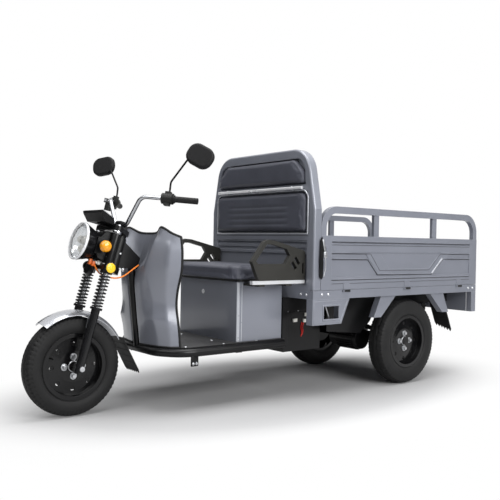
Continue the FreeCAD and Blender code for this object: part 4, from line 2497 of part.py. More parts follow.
nodes = [make() for make in PIECES]
for word, sign in (("left", 1), ("right", -1)):
    nodes.append(mirror(f"mirror_{word}", sign))
    nodes.append(rear_tyre(word, sign))
    nodes.append(rear_rim(word, sign))

doc.recompute()
for item in doc.Objects:
    if "Invalid" in item.State or "Error" in item.State:
        raise RuntimeError(f"{item.Name} failed: {item.State}")
for item in nodes:
    if item.Shape.isNull() or not item.Shape.isValid():
        raise RuntimeError(f"{item.Label} has no sound shape")
os.makedirs("parts", exist_ok=True)
for item in nodes:
    item.Shape.exportStep(f"parts/{item.Label}.step")
print(len(nodes), "nodes written")
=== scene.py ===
"""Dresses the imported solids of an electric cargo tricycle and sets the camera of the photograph."""
import json
from math import cos, exp, pi, radians, sin, tan

import bmesh
import bpy
from mathutils import Matrix, Vector


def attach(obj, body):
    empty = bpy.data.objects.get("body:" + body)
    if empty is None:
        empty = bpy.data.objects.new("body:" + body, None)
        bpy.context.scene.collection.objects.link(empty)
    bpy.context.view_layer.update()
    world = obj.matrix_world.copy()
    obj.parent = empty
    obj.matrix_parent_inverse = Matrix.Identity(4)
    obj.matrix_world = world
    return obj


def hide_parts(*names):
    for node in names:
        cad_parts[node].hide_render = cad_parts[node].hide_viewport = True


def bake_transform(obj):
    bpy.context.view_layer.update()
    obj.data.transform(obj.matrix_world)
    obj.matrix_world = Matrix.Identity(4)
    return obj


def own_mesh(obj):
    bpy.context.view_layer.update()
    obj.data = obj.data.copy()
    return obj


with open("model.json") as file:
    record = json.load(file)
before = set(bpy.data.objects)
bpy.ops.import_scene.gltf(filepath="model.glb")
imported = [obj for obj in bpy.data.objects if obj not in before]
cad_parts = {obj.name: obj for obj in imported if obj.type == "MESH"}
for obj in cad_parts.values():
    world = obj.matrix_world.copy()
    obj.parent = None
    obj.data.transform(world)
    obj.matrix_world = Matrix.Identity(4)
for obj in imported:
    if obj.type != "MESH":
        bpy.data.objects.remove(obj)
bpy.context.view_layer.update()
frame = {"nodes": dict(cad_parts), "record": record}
scene = bpy.context.scene
scene.view_settings.view_transform = "Standard"

# Places shared with the solids, in metres
REAR_X = -0.82685
FRONT_RADIUS, FRONT_WIDTH = 0.253, 0.108
REAR_RADIUS, REAR_WIDTH = 0.273, 0.124
FRONT_AXLE = Vector((1.28315, 0.0, FRONT_RADIUS))
REAR_WHEEL_Y = 0.398
RAKE = radians(16)
FORK_UP = Vector((-sin(RAKE), 0.0, cos(RAKE)))
FORK_AHEAD = Vector((cos(RAKE), 0.0, sin(RAKE)))
AHEAD = Vector((1.0, 0.0, 0.0))
LEFT = Vector((0.0, 1.0, 0.0))
UP = Vector((0.0, 0.0, 1.0))
FORK_LEG_Y = 0.097
LAMP_RISE, LAMP_REACH = 0.618, 0.153
HEAD_REACH = -0.077
BOARD_FACE = 0.8928
GATE_FACE_Y = 0.4838
BED_SIDE_Y = 0.4898
HINGE_Z = 0.622
HINGE_HALF = 0.0245
SLEEVE_RADIUS = 0.0067
SEAT_BOX_Y = 0.2828
FLOOR_TOP = 0.3425
BED_TOP = 0.6268
SIDES = (("left", 1), ("right", -1))


def at(reach, y, z):
    """A place by its reach ahead of the rear axle."""
    return Vector((REAR_X + reach, y, z))


def beside(reach, z, y):
    """The same place with its side named last, for outlines seen from the side."""
    return at(reach, y, z)


def fork(u, y, w):
    """A place by its reach ahead of the fork legs, its side and its height along them."""
    return FRONT_AXLE + FORK_AHEAD * u + LEFT * y + FORK_UP * w


HEAD = fork(HEAD_REACH, 0.0, LAMP_RISE)


# Materials

def shader(name):
    material = bpy.data.materials.new(name)
    material.use_nodes = True
    tree = material.node_tree
    return material, tree, tree.nodes["Principled BSDF"]


def put(node, **values):
    """Sets the named inputs of a node, or links those that come from another node."""
    for key, value in values.items():
        socket = node.inputs[key.replace("_", " ")]
        if isinstance(value, bpy.types.NodeSocket):
            node.id_data.links.new(value, socket)
        else:
            socket.default_value = value
    return node


def add(tree, kind, **values):
    return put(tree.nodes.new(f"ShaderNode{kind}"), **values)


def worked(tree, kind, operation, *sources):
    """The outcome of a maths node that the given outputs feed."""
    node = add(tree, kind)
    node.operation = operation
    for socket, source in zip(node.inputs, sources):
        tree.links.new(source, socket)
    return node.outputs["Value"]


def mapped(tree, stretch=(1.0, 1.0, 1.0)):
    place = add(tree, "TexCoord").outputs["Object"]
    return add(tree, "Mapping", Vector=place, Scale=stretch).outputs["Vector"]


def cloud(tree, vector, scale, detail):
    return add(tree, "TexNoise", Vector=vector, Scale=scale, Detail=detail, Roughness=0.55).outputs["Fac"]


def cells(tree, vector, size, feature="F1", **values):
    node = add(tree, "TexVoronoi", Vector=vector, Scale=1.0 / size, **values)
    node.feature = feature
    return node.outputs["Distance"]


def ramp(tree, factor, stops):
    node = add(tree, "ValToRGB", Fac=factor)
    elements = node.color_ramp.elements
    while len(elements) < len(stops):
        elements.new(0.5)
    for element, (position, colour) in zip(elements, stops):
        element.position = position
        element.color = (*colour, 1.0)
    return node.outputs["Color"]


def two_tone(tree, factor, colour, dark, light, span=(0.3, 0.7)):
    """A colour that runs from a darker to a lighter share of itself."""
    tints = [tuple(min(1.0, channel * share) for channel in colour) for share in (dark, light)]
    return ramp(tree, factor, tuple(zip(span, tints)))


def ranged(tree, factor, low, high, source=(0.3, 0.7), way="LINEAR"):
    start, end = source
    node = add(tree, "MapRange", Value=factor, From_Min=start, From_Max=end, To_Min=low, To_Max=high)
    node.interpolation_type = way
    return node.outputs["Result"]


def rounded(tree, radius):
    node = add(tree, "Bevel", Radius=radius)
    node.samples = 4
    return node.outputs["Normal"]


def worn_edges(tree, normal, colour, worn, share):
    """Mixes a worn colour in where the rounded normal leaves the flat one."""
    flat = add(tree, "NewGeometry").outputs["Normal"]
    mask = ranged(tree, worked(tree, "VectorMath", "DOT_PRODUCT", normal, flat), share, 0.0, (0.72, 0.98))
    mix = add(tree, "Mix")
    mix.data_type = "RGBA"
    return put(mix, Factor=mask, A=colour, B=(*worn, 1.0)).outputs["Result"]


def bumped(tree, height, normal, strength, distance):
    node = add(tree, "Bump", Strength=strength, Distance=distance, Height=height)
    if normal is not None:
        put(node, Normal=normal)
    return node.outputs["Normal"]


def finish(name, colour, rough, metal=0.0, coat=0.0, coat_rough=0.08, mottle=6.0, shade=0.08, grain=600.0,
           relief=0.15, spread=0.04, stretch=(1.0, 1.0, 1.0), edge=0.0015, worn=None, wear=0.35, shine=0.5):
    """A hard finish with broad mottling, fine grain, softened edges and a little wear on them."""
    material, tree, bsdf = shader(name)
    vector = mapped(tree, stretch)
    broad = cloud(tree, vector, mottle, 4.0)
    base = two_tone(tree, broad, colour, 1 - shade, 1 + shade)
    normal = rounded(tree, edge) if edge else None
    if worn and edge:
        base = worn_edges(tree, normal, base, worn, wear)
    put(bsdf, Base_Color=base, Roughness=ranged(tree, broad, rough - spread, rough + spread), Metallic=metal,
        Normal=bumped(tree, cloud(tree, vector, grain, 2.0), normal, relief, 0.0004),
        Specular_IOR_Level=shine, Coat_Weight=coat, Coat_Roughness=coat_rough)
    return material


def hide(name, colour, cell, depth):
    """Grained vinyl: cells of the hide, soft creases and a light sheen."""
    material, tree, bsdf = shader(name)
    vector = mapped(tree)
    broad = cloud(tree, vector, 5.0, 4.0)
    pores = ranged(tree, cells(tree, vector, cell, "DISTANCE_TO_EDGE"), 0.0, 1.0, (0.0, 0.3))
    skin = bumped(tree, pores, None, 0.35, depth)
    put(bsdf, Base_Color=two_tone(tree, broad, colour, 0.82, 1.2, (0.28, 0.72)),
        Normal=bumped(tree, cloud(tree, vector, 26.0, 5.0), skin, 0.18, 0.004),
        Roughness=ranged(tree, broad, 0.44, 0.56), Sheen_Weight=0.06, Sheen_Roughness=0.4,
        Specular_IOR_Level=0.3)
    return material


def rubber(name, colour, rough, dust, grain=350.0):
    """Rubber with pale dust in broad patches and a pebbled skin."""
    material, tree, bsdf = shader(name)
    vector = mapped(tree)
    broad = cloud(tree, vector, 9.0, 5.0)
    put(bsdf, Base_Color=ramp(tree, broad, ((0.35, colour), (0.8, dust))),
        Roughness=ranged(tree, broad, rough - 0.06, rough + 0.1), Specular_IOR_Level=0.25,
        Normal=bumped(tree, cloud(tree, vector, grain, 3.0), rounded(tree, 0.001), 0.25, 0.0005))
    return material


def lens(name, colour, transmission, rib, rough=0.08, relief=0.4):
    """Clear moulded plastic with ribs and faint haze."""
    material, tree, bsdf = shader(name)
    vector = mapped(tree)
    haze = cloud(tree, vector, 40.0, 3.0)
    put(bsdf, Base_Color=two_tone(tree, haze, colour, 0.9, 1.08),
        Roughness=ranged(tree, haze, rough * 0.7, rough * 1.4),
        Normal=bumped(tree, cells(tree, vector, rib), None, relief, rib * 0.3),
        Transmission_Weight=transmission, IOR=1.49, Coat_Weight=0.4)
    return material


def tread_plate(name, colour, pitch):
    """Dark floor covering with raised dots and broad mottling."""
    material, tree, bsdf = shader(name)
    vector = mapped(tree)
    broad = cloud(tree, vector, 8.0, 5.0)
    raised = ranged(tree, cells(tree, vector, pitch, Randomness=0.15), 1.0, 0.0, (0.2, 0.45))
    put(bsdf, Base_Color=two_tone(tree, broad, colour, 0.75, 1.6, (0.3, 0.75)),
        Roughness=ranged(tree, broad, 0.5, 0.72),
        Normal=bumped(tree, raised, rounded(tree, 0.002), 0.5, 0.0015))
    return material


finishes = {
    "body_paint": finish("blue_grey_paint", (0.2, 0.211, 0.247), 0.36, metal=0.18, coat=0.4, coat_rough=0.1,
                         mottle=3.0, shade=0.05, grain=1400.0, relief=0.1, edge=0.003,
                         worn=(0.5, 0.52, 0.56), wear=0.3),
    "frame_black": finish("frame_black_paint", (0.006, 0.006, 0.0065), 0.34, coat=0.06, coat_rough=0.12,
                          shade=0.2, shine=0.22, worn=(0.04, 0.04, 0.042), wear=0.4, edge=0.002),
    "trim_black": finish("moulded_trim", (0.012, 0.0122, 0.0115), 0.48, shade=0.14, shine=0.25, grain=900.0,
                         relief=0.5, worn=(0.06, 0.061, 0.058), wear=0.3, edge=0.002),
    "gloss_black": finish("gloss_plastic", (0.008, 0.008, 0.009), 0.2, coat=0.06, coat_rough=0.04,
                          shade=0.15, shine=0.3, relief=0.04, edge=0.003),
    "bright_metal": finish("chrome_plate", (0.62, 0.63, 0.65), 0.13, metal=1.0, shade=0.05, mottle=11.0,
                           relief=0.03, spread=0.03),
    "steel": finish("brushed_steel", (0.55, 0.56, 0.58), 0.3, metal=1.0, shade=0.1, grain=500.0, relief=0.2,
                    stretch=(1.0, 1.0, 8.0), edge=0.001),
    "alloy": finish("cast_alloy", (0.36, 0.37, 0.385), 0.48, metal=0.9, shade=0.16, grain=420.0, relief=0.5,
                    edge=0.002),
    "silver_paint": finish("silver_paint", (0.46, 0.47, 0.5), 0.24, metal=0.7, coat=0.5, shade=0.05,
                           mottle=4.0, grain=1400.0, relief=0.08, edge=0.002, worn=(0.7, 0.71, 0.74),
                           wear=0.25),
    "upholstery": hide("blue_grey_vinyl", (0.055, 0.058, 0.075), 0.0026, 0.0004),
    "tyre": rubber("tyre_rubber", (0.007, 0.007, 0.0074), 0.62, (0.015, 0.015, 0.015)),
    "rubber": rubber("moulded_rubber", (0.007, 0.007, 0.0074), 0.55, (0.012, 0.012, 0.012), 500.0),
    "red_lens": lens("red_lens", (0.5, 0.012, 0.014), 0.25, 0.006),
    "amber_lens": lens("amber_lens", (0.95, 0.36, 0.002), 0.05, 0.009, relief=0.7),
    "clear_glass": lens("clear_lens", (0.97, 0.98, 0.99), 0.97, 0.012, 0.02, relief=0.04),
    "orange_lead": rubber("orange_sheath", (0.78, 0.2, 0.02), 0.5, (0.82, 0.26, 0.05)),
    "battery_grey": finish("battery_case", (0.11, 0.11, 0.12), 0.5, shade=0.1, grain=800.0, relief=0.3),
}
yellow_lens = lens("yellow_reflector", (0.96, 0.6, 0.006), 0.05, 0.007, relief=0.8)
# paler paint that stands in for highlights on edges and corners: painted highlight
highlight_paint = finish("painted_highlight_paint", (0.43, 0.445, 0.48), 0.3, metal=0.25, coat=0.5, shade=0.04,
                    grain=1400.0, relief=0.06, edge=0.001)
# dark paint for thin lines that stand in for the shade in grooves and seams: painted shadow
shadow_line_paint = finish("painted_shadow_line", (0.055, 0.058, 0.07), 0.5, shade=0.2, grain=900.0, edge=0.001)
rim_gloss = finish("rim_enamel", (0.004, 0.004, 0.0045), 0.2, coat=0.12, coat_rough=0.05, shade=0.2,
                   relief=0.06, edge=0.002, shine=0.28)
arm_black = finish("arm_moulding", (0.021, 0.0205, 0.018), 0.5, shade=0.14, shine=0.25, grain=900.0,
                   relief=0.5, edge=0.002, worn=(0.07, 0.07, 0.065), wear=0.3)
pod_black = finish("pod_moulding", (0.007, 0.007, 0.0075), 0.55, shade=0.15, shine=0.18, grain=900.0,
                   relief=0.3, edge=0.003)
satin_bar = finish("satin_bar", (0.72, 0.73, 0.75), 0.3, metal=0.45, coat=0.3, shade=0.04, relief=0.03,
                   edge=0.001)
bar_chrome = finish("handlebar_chrome", (0.44, 0.45, 0.47), 0.12, metal=1.0, shade=0.06, mottle=11.0,
                    relief=0.03, spread=0.03, edge=0.001)
lamp_white = finish("lamp_rim", (0.8, 0.81, 0.83), 0.25, coat=0.4, shade=0.03, relief=0.03, edge=0.001)
orange_plastic = finish("orange_connector", (0.72, 0.14, 0.015), 0.4, edge=0.0008)
white_plastic = finish("white_connector", (0.78, 0.77, 0.72), 0.42, shade=0.05, edge=0.0006)
red_wire = rubber("red_sheath", (0.5, 0.02, 0.015), 0.45, (0.55, 0.03, 0.02))
floor_mat = tread_plate("floor_covering", (0.02, 0.02, 0.021), 0.009)
mirror_glass = finish("mirror_glass", (0.86, 0.88, 0.9), 0.03, metal=1.0, shade=0.02, relief=0.0,
                      spread=0.01, edge=0.0)
node_finishes = {
    "fork_sliders": finishes["gloss_black"], "armrests": arm_black, "handlebar": bar_chrome,
    **dict.fromkeys(("front_rim", "rear_rim_left", "rear_rim_right"), rim_gloss),
    **dict.fromkeys(("instrument_pod", "mirror_left", "mirror_right"), pod_black),
    **dict.fromkeys(("grab_rails", "seat_lock"), satin_bar),
    **dict.fromkeys((f"latch_{end}_{word}" for end in ("front", "rear") for word, _ in SIDES),
                    finishes["frame_black"]),
}


def dress_nodes():
    """Every carried-over node takes its own or its slot's detailed finish."""
    for row in frame["record"]["subparts"]:
        materials = frame["nodes"][row["node"]].data.materials
        materials.clear()
        materials.append(node_finishes.get(row["node"], finishes[row["material_slot"]]))


# Mesh helpers

def linked(name, data):
    item = bpy.data.objects.new(name, data)
    scene.collection.objects.link(item)
    return item


def mesh_item(name, bm, material):
    mesh = bpy.data.meshes.new(name)
    bm.to_mesh(mesh)
    bm.free()
    mesh.materials.append(material)
    return linked(name, mesh)


def shade_smooth(mesh):
    for polygon in mesh.polygons:
        polygon.use_smooth = True


def piece(name, bm, body, slot, stands_for=(), material=None, smooth=38):
    bmesh.ops.recalc_face_normals(bm, faces=bm.faces)
    item = mesh_item(name, bm, material or finishes[slot])
    shade_smooth(item.data)
    item.data.set_sharp_from_angle(angle=radians(smooth))
    if body:
        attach(item, body)
    if stands_for:
        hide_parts(*stands_for)
    return item


def join_rows(bm, low, high, closed=True):
    count = max(len(low), len(high))
    for index in range(count if closed else count - 1):
        after = (index + 1) % count
        spots = ((low, index), (low, after), (high, after), (high, index))
        corners = [row[step % len(row)] for row, step in spots]
        distinct = [v for place, v in enumerate(corners) if v not in corners[:place]]
        if len(distinct) > 2:
            bm.faces.new(distinct)


def join_run(bm, rows, closed):
    """Joins rings into a run that closes on itself or has capped ends."""
    for low, high in zip(rows, rows[1:] + rows[:1] if closed else rows[1:]):
        join_rows(bm, low, high)
    if not closed:
        bm.faces.new(rows[0])
        bm.faces.new(rows[-1])


def ring_of(bm, centre, across, other, radius, sides):
    turns = [2 * pi * index / sides for index in range(sides)]
    return [bm.verts.new(centre + (across * cos(t) + other * sin(t)) * radius) for t in turns]


def lathe(bm, profile, origin, axis, sides):
    """Turns (radius, along) pairs about an axis."""
    axis = axis.normalized()
    across = axis.orthogonal().normalized()
    other = axis.cross(across)
    rows = []
    for radius, along in profile:
        centre = origin + axis * along
        on_axis = radius < 1e-6
        rows.append([bm.verts.new(centre)] if on_axis else ring_of(bm, centre, across, other, radius, sides))
    for low, high in zip(rows, rows[1:]):
        join_rows(bm, low, high)


def tube(bm, points, radius, sides, closed=False):
    """A round tube along points, its frame carried from point to point."""
    rows, normal = [], None
    for index, place in enumerate(points):
        before = points[index - 1] if index or closed else place
        after = points[(index + 1) % len(points)] if index + 1 < len(points) or closed else place
        way = (after - before).normalized()
        side = way.orthogonal() if normal is None else normal - way * normal.dot(way)
        normal = side.normalized()
        rows.append(ring_of(bm, place, normal, way.cross(normal), radius, sides))
    join_run(bm, rows, closed)


def curve_through(points, steps):
    """Points along a smooth line through the given places."""
    last = len(points) - 1
    found = []
    for index in range(last):
        a, b = points[max(index - 1, 0)], points[index]
        c, e = points[index + 1], points[min(index + 2, last)]
        for step in range(steps):
            t = step / steps
            found.append(0.5 * (2 * b + (c - a) * t + (2 * a - 5 * b + 4 * c - e) * t * t
                                + (3 * b - a - 3 * c + e) * t ** 3))
    return found + [points[-1]]


def placed(origin, x, y, z):
    """A matrix with the given axes as its columns."""
    return Matrix.Translation(origin) @ Matrix((x, y, z)).transposed().to_4x4()


def soft_block(bm, origin, ahead, up, size, edge):
    """A block with rounded edges whose X runs ahead and whose Z runs up."""
    verts = bmesh.ops.create_cube(bm, size=1.0)["verts"]
    for v in verts:
        v.co = Vector((v.co.x * size[0], v.co.y * size[1], v.co.z * size[2]))
    edges = list({e for v in verts for e in v.link_edges})
    bevel = bmesh.ops.bevel(bm, geom=edges, offset=edge, segments=3, profile=0.5, affect="EDGES",
                            clamp_overlap=True)
    found = {v for v in verts if v.is_valid} | {v for face in bevel["faces"] for v in face.verts}
    x = ahead.normalized()
    z = (up - x * up.dot(x)).normalized()
    bmesh.ops.transform(bm, matrix=placed(origin, x, z.cross(x), z), verts=list(found))


def scaled(profile, radius, height):
    return [(radius * across, height * along) for across, along in profile]


def bolt(bm, place, axis, radius, height):
    """A hex head with a chamfered top on a round washer."""
    washer = ((0, 0), (1.5, 0), (1.5, 0.22), (1.42, 0.3), (0, 0.3))
    head = ((0, 0.28), (1, 0.28), (1, 0.85), (0.86, 1), (0, 1))
    lathe(bm, scaled(washer, radius, height), place, axis, 24)
    lathe(bm, scaled(head, radius, height), place, axis, 6)


def screw(bm, place, axis, radius, height):
    """A domed pan head with a shallow socket."""
    head = ((0, 0), (1, 0), (0.98, 0.4), (0.75, 0.85), (0.42, 1), (0.38, 0.6), (0, 0.6))
    lathe(bm, scaled(head, radius, height), place, axis, 16)


def mesh_of(node):
    """A copy of a node's mesh with its faces joined."""
    bm = bmesh.new()
    bm.from_mesh(frame["nodes"][node].data)
    bmesh.ops.remove_doubles(bm, verts=bm.verts, dist=2e-5)
    return bm


def skin_of(name, node, chosen, lift, body, slot, material):
    """A thin facing that lies on the chosen faces of a node."""
    bm = mesh_of(node)
    bm.normal_update()
    bmesh.ops.delete(bm, geom=[f for f in bm.faces if not chosen(f)], context="FACES")
    bmesh.ops.dissolve_limit(bm, angle_limit=radians(1), verts=bm.verts, edges=bm.edges)
    bmesh.ops.inset_region(bm, faces=bm.faces[:], thickness=lift * 1.5, depth=lift, use_even_offset=True)
    piece(name, bm, body, slot, material=material)


# Camera, floor and lamps

CAMERA_SPOT = Vector((2.76815, 3.292, 0.896))
CAMERA_TURNS = (231.34, -0.65, 1.03)
LENS_MM, SENSOR_MM = 49.68, 36.0
# floor colours by stretched distance from the object: the greyer ones near it are a painted shadow
FLOOR_SHADOW_TONES = ((0.2, (0.47, 0.47, 0.475)), (0.75, (0.51, 0.51, 0.515)), (1.0, (0.74, 0.74, 0.745)))
FLOOR_HALF, FLOOR_STRETCH, FADE_SPAN = 30.0, (0.55, 0.94, 1.0), (0.6, 1.2)
FLAG_REACH = 5.5
FLAGS = (
    (-14, 2.2, 3.2), (12, 2.4, 3.2), (40, 2.2, 2.8), (68, 1.4, 2.2), (96, 2.2, 1.5), (119, 1.6, 1.6),
    (140, 2.4, 2.6), (190, 2.6, 3.0), (238, 2.0, 2.6), (285, 2.6, 3.2), (309, 2.0, 3.4), (330, 2.4, 3.2),
)


def set_camera():
    data = bpy.data.cameras.new("photo_camera")
    data.sensor_width = SENSOR_MM
    data.lens = LENS_MM
    data.clip_end = 100.0
    scene.camera = linked("photo_camera", data)
    yaw, pitch, roll = (radians(turn) for turn in CAMERA_TURNS)
    way = Vector((cos(pitch) * cos(yaw), cos(pitch) * sin(yaw), sin(pitch)))
    level = way.cross(UP).normalized()
    over = level.cross(way)
    right = level * cos(roll) + over * sin(roll)
    over = over * cos(roll) - level * sin(roll)
    scene.camera.matrix_world = placed(CAMERA_SPOT, right, over, -way)


def white_seen(tree):
    """One for rays that show the background: from the camera, off metal and through glass."""
    path = add(tree, "LightPath").outputs
    found = path["Is Camera Ray"]
    for word in ("Is Glossy Ray", "Is Transmission Ray"):
        found = worked(tree, "Math", "MAXIMUM", found, path[word])
    return found


def mix_surface(tree, share, first, second, target):
    mix = add(tree, "MixShader", Fac=share)
    tree.links.new(first.outputs[0], mix.inputs[1])
    tree.links.new(second.outputs[0], mix.inputs[2])
    put(tree.nodes[target], Surface=mix.outputs["Shader"])


def set_world():
    world = bpy.data.worlds.new("studio")
    world.use_nodes = True
    scene.world = world
    tree = world.node_tree
    ambient = put(tree.nodes["Background"], Color=(0.93, 0.96, 1.0, 1.0), Strength=0.045)
    white = add(tree, "Background", Color=(1.0, 1.0, 1.0, 1.0), Strength=1.0)
    mix_surface(tree, white_seen(tree), ambient, white, "World Output")


def floor_finish():
    """A pale floor with a painted shadow, greyer under the object, that also keeps its cast shadow and fades
    into the white background.
    """
    material, tree, bsdf = shader("pale_floor")
    speck = cloud(tree, mapped(tree), 60.0, 3.0)
    distance = worked(tree, "VectorMath", "LENGTH", mapped(tree, FLOOR_STRETCH))
    put(bsdf, Base_Color=ramp(tree, distance, FLOOR_SHADOW_TONES), Roughness=ranged(tree, speck, 0.75, 0.85),
        Specular_IOR_Level=0.15)
    fade = ranged(tree, distance, 0.0, 1.0, FADE_SPAN, "SMOOTHSTEP")
    seen = worked(tree, "Math", "MULTIPLY", fade, white_seen(tree))
    mix_surface(tree, seen, bsdf, add(tree, "Emission", Strength=1.0), "Material Output")
    return material


def set_floor():
    bm = bmesh.new()
    bmesh.ops.create_grid(bm, x_segments=8, y_segments=8, size=FLOOR_HALF)
    floor = mesh_item("floor", bm, floor_finish())


def lamp(name, spot, target, size, power):
    data = bpy.data.lights.new(name, "AREA")
    data.shape = "RECTANGLE"
    data.size, data.size_y = size
    data.energy = power
    item = linked(name, data)
    item.location = spot
    item.rotation_euler = (Vector(target) - Vector(spot)).to_track_quat("-Z", "Y").to_euler()


def set_lamps():
    lamp("side_softbox", (-0.1, 4.8, 2.5), (0.1, 0.0, 0.6), (3.6, 2.6), 245.0)
    lamp("top_softbox", (-0.1, 0.5, 4.6), (-0.1, 0.0, 0.5), (4.2, 3.0), 205.0)
    lamp("front_fill", (3.4, 0.6, 3.6), (0.1, 0.0, 1.0), (2.6, 2.0), 50.0)


def set_flags():
    """Dark studio flags all round, seen only as streaks in gloss and chrome."""
    material = finish("dark_flag", (0.02, 0.02, 0.022), 0.9, edge=0.0)
    for index, (turn, wide, high) in enumerate(FLAGS):
        way = Vector((cos(radians(turn)), sin(radians(turn)), 0))
        across = UP.cross(way) * wide / 2
        corners = ((-1, 0.0), (1, 0.0), (1, high), (-1, high))
        bm = bmesh.new()
        bm.faces.new([bm.verts.new(way * FLAG_REACH + across * side + UP * z) for side, z in corners])
        flag = mesh_item(f"flag_{index}", bm, material)
        for seen in ("camera", "diffuse", "transmission", "shadow", "volume_scatter"):
            setattr(flag, f"visible_{seen}", False)


# Headlight lead

LEAD_STEPS = (
    (0.150, 0.052, -0.062), (0.138, 0.054, -0.090), (0.112, 0.056, -0.112), (0.080, 0.056, -0.122),
    (0.045, 0.060, -0.130), (0.010, 0.066, -0.127), (-0.024, 0.068, -0.110), (-0.058, 0.067, -0.086),
    (-0.098, 0.065, -0.062),
)
LEAD_RADIUS = 0.004


def evaluated_mesh(item):
    bpy.context.view_layer.update()
    return bpy.data.meshes.new_from_object(item.evaluated_get(bpy.context.evaluated_depsgraph_get()))


def spline_points(name, places):
    """Points read from the route's own smooth spline."""
    data = bpy.data.curves.new(name, "CURVE")
    data.dimensions = "3D"
    spline = data.splines.new("NURBS")
    spline.points.add(len(places) - 1)
    for point, place in zip(spline.points, places):
        point.co = (*place, 1.0)
    spline.order_u = 3
    spline.use_endpoint_u = True
    data.resolution_u = 8
    holder = linked(name, data)
    mesh = evaluated_mesh(holder)
    found = [v.co.copy() for v in mesh.vertices]
    bpy.data.objects.remove(holder)
    bpy.data.meshes.remove(mesh)
    return found


def lamp_lead():
    route = spline_points("lead_line", [HEAD + Vector(step) for step in LEAD_STEPS])
    bm = bmesh.new()
    tube(bm, route, LEAD_RADIUS, 14)
    lead = piece("lamp_lead_sheath", bm, None, "orange_lead", ("lamp_lead",))
    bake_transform(lead)


# Padded pieces

COVER_VOXEL = 0.0065
REST_BAND = 0.002
SWELL_FRAMES = 20


def apply_modifiers(item):
    shaped = evaluated_mesh(item)
    item.modifiers.clear()
    old = item.data
    item.data = shaped
    bpy.data.meshes.remove(old)


def subdivide(item, levels):
    smoothing = item.modifiers.new("smooth", "SUBSURF")
    smoothing.levels = levels
    smoothing.render_levels = levels
    apply_modifiers(item)


def swell(item, cap, resting, pressure):
    """Fills a closed cover with foam: cloth under pressure, held where it rests, its movement capped."""
    remesh = item.modifiers.new("cover", "REMESH")
    remesh.mode = "VOXEL"
    remesh.voxel_size = COVER_VOXEL
    apply_modifiers(item)
    start = [v.co.copy() for v in item.data.vertices]
    group = item.vertex_groups.new(name="resting")
    group.add([v.index for v in item.data.vertices if resting(v.co)], 1.0, "REPLACE")
    cloth = item.modifiers.new("foam", "CLOTH")
    cloth.settings.use_pressure = True
    cloth.settings.uniform_pressure_force = pressure
    cloth.settings.effector_weights.gravity = 0.0
    cloth.settings.vertex_group_mass = "resting"
    cloth.settings.quality = 4
    cloth.point_cache.frame_start = 1
    cloth.point_cache.frame_end = SWELL_FRAMES
    for step in range(1, SWELL_FRAMES + 1):
        scene.frame_set(step)
    swollen = item.evaluated_get(bpy.context.evaluated_depsgraph_get()).data
    moved = [v.co.copy() for v in swollen.vertices]
    item.modifiers.clear()
    scene.frame_set(1)
    for v, before, after in zip(item.data.vertices, start, moved):
        step = after - before
        v.co = before + step * min(1.0, cap / max(step.length, 1e-9))


def padded_piece(name, bm, node, body, cap, resting, shape, pressure):
    item = piece(name, bm, body, "upholstery", (node,), smooth=180)
    swell(item, cap, resting, pressure)
    if shape:
        for v in item.data.vertices:
            v.co = shape(v.co)
    subdivide(item, 1)
    shade_smooth(item.data)


def outlined_block(bm, outline, place, low, high, edge=0.0, segments=3):
    """A closed block from a ring of flat places, put at two depths by the given function."""
    back = [bm.verts.new(place(p[0], p[1], low)) for p in outline]
    front = [bm.verts.new(place(p[0], p[1], high)) for p in outline]
    bm.faces.new(back)
    bm.faces.new(list(reversed(front)))
    join_rows(bm, back, front)
    bmesh.ops.recalc_face_normals(bm, faces=bm.faces)
    if edge:
        rim = [e for e in bm.edges if e.verts[0] in front and e.verts[1] in front]
        bmesh.ops.bevel(bm, geom=rim, offset=edge, segments=segments, profile=0.5, affect="EDGES")


def round_corners(outline, radii, steps=6):
    """A ring of flat places with each corner rounded by its own radius."""
    found = []
    corners = [Vector((*place, 0)) for place in outline]
    for index, (corner, radius) in enumerate(zip(corners, radii)):
        before = (corners[index - 1] - corner).normalized()
        after = (corners[(index + 1) % len(corners)] - corner).normalized()
        half = before.angle(after) / 2
        reach = radius / tan(half)
        start, end = corner + before * reach, corner + after * reach
        middle = corner + (before + after).normalized() * (radius / sin(half))
        first, last = (start - middle).normalized(), (end - middle).normalized()
        for step in range(steps + 1):
            way = first.slerp(last, step / steps).normalized()
            found.append(middle + way * radius)
    return found


def seat_cushion():
    low, high = 0.6905, 0.762
    flat = ((0.966, -0.316), (1.322, -0.316), (1.322, 0.316), (0.966, 0.316))
    bm = bmesh.new()
    outlined_block(bm, round_corners(flat, (0.04, 0.06, 0.06, 0.04)), at, low, high, edge=0.018, segments=4)

    dip_depth, dip_reach, dip_length, dip_width = 0.004, 1.13, 0.11, 0.2

    def settle(place):
        rise = max(0.0, (place.z - low) / (high - low))
        reach = place.x - REAR_X
        dip = dip_depth * exp(-((reach - dip_reach) / dip_length) ** 2 - (place.y / dip_width) ** 2)
        return Vector((place.x, place.y, max(low, place.z - dip * rise)))

    padded_piece("seat_cushion_cover", bm, "seat_cushion", "seat", cap=0.009,
                 resting=lambda p: p.z < low + REST_BAND, shape=settle, pressure=4.0)


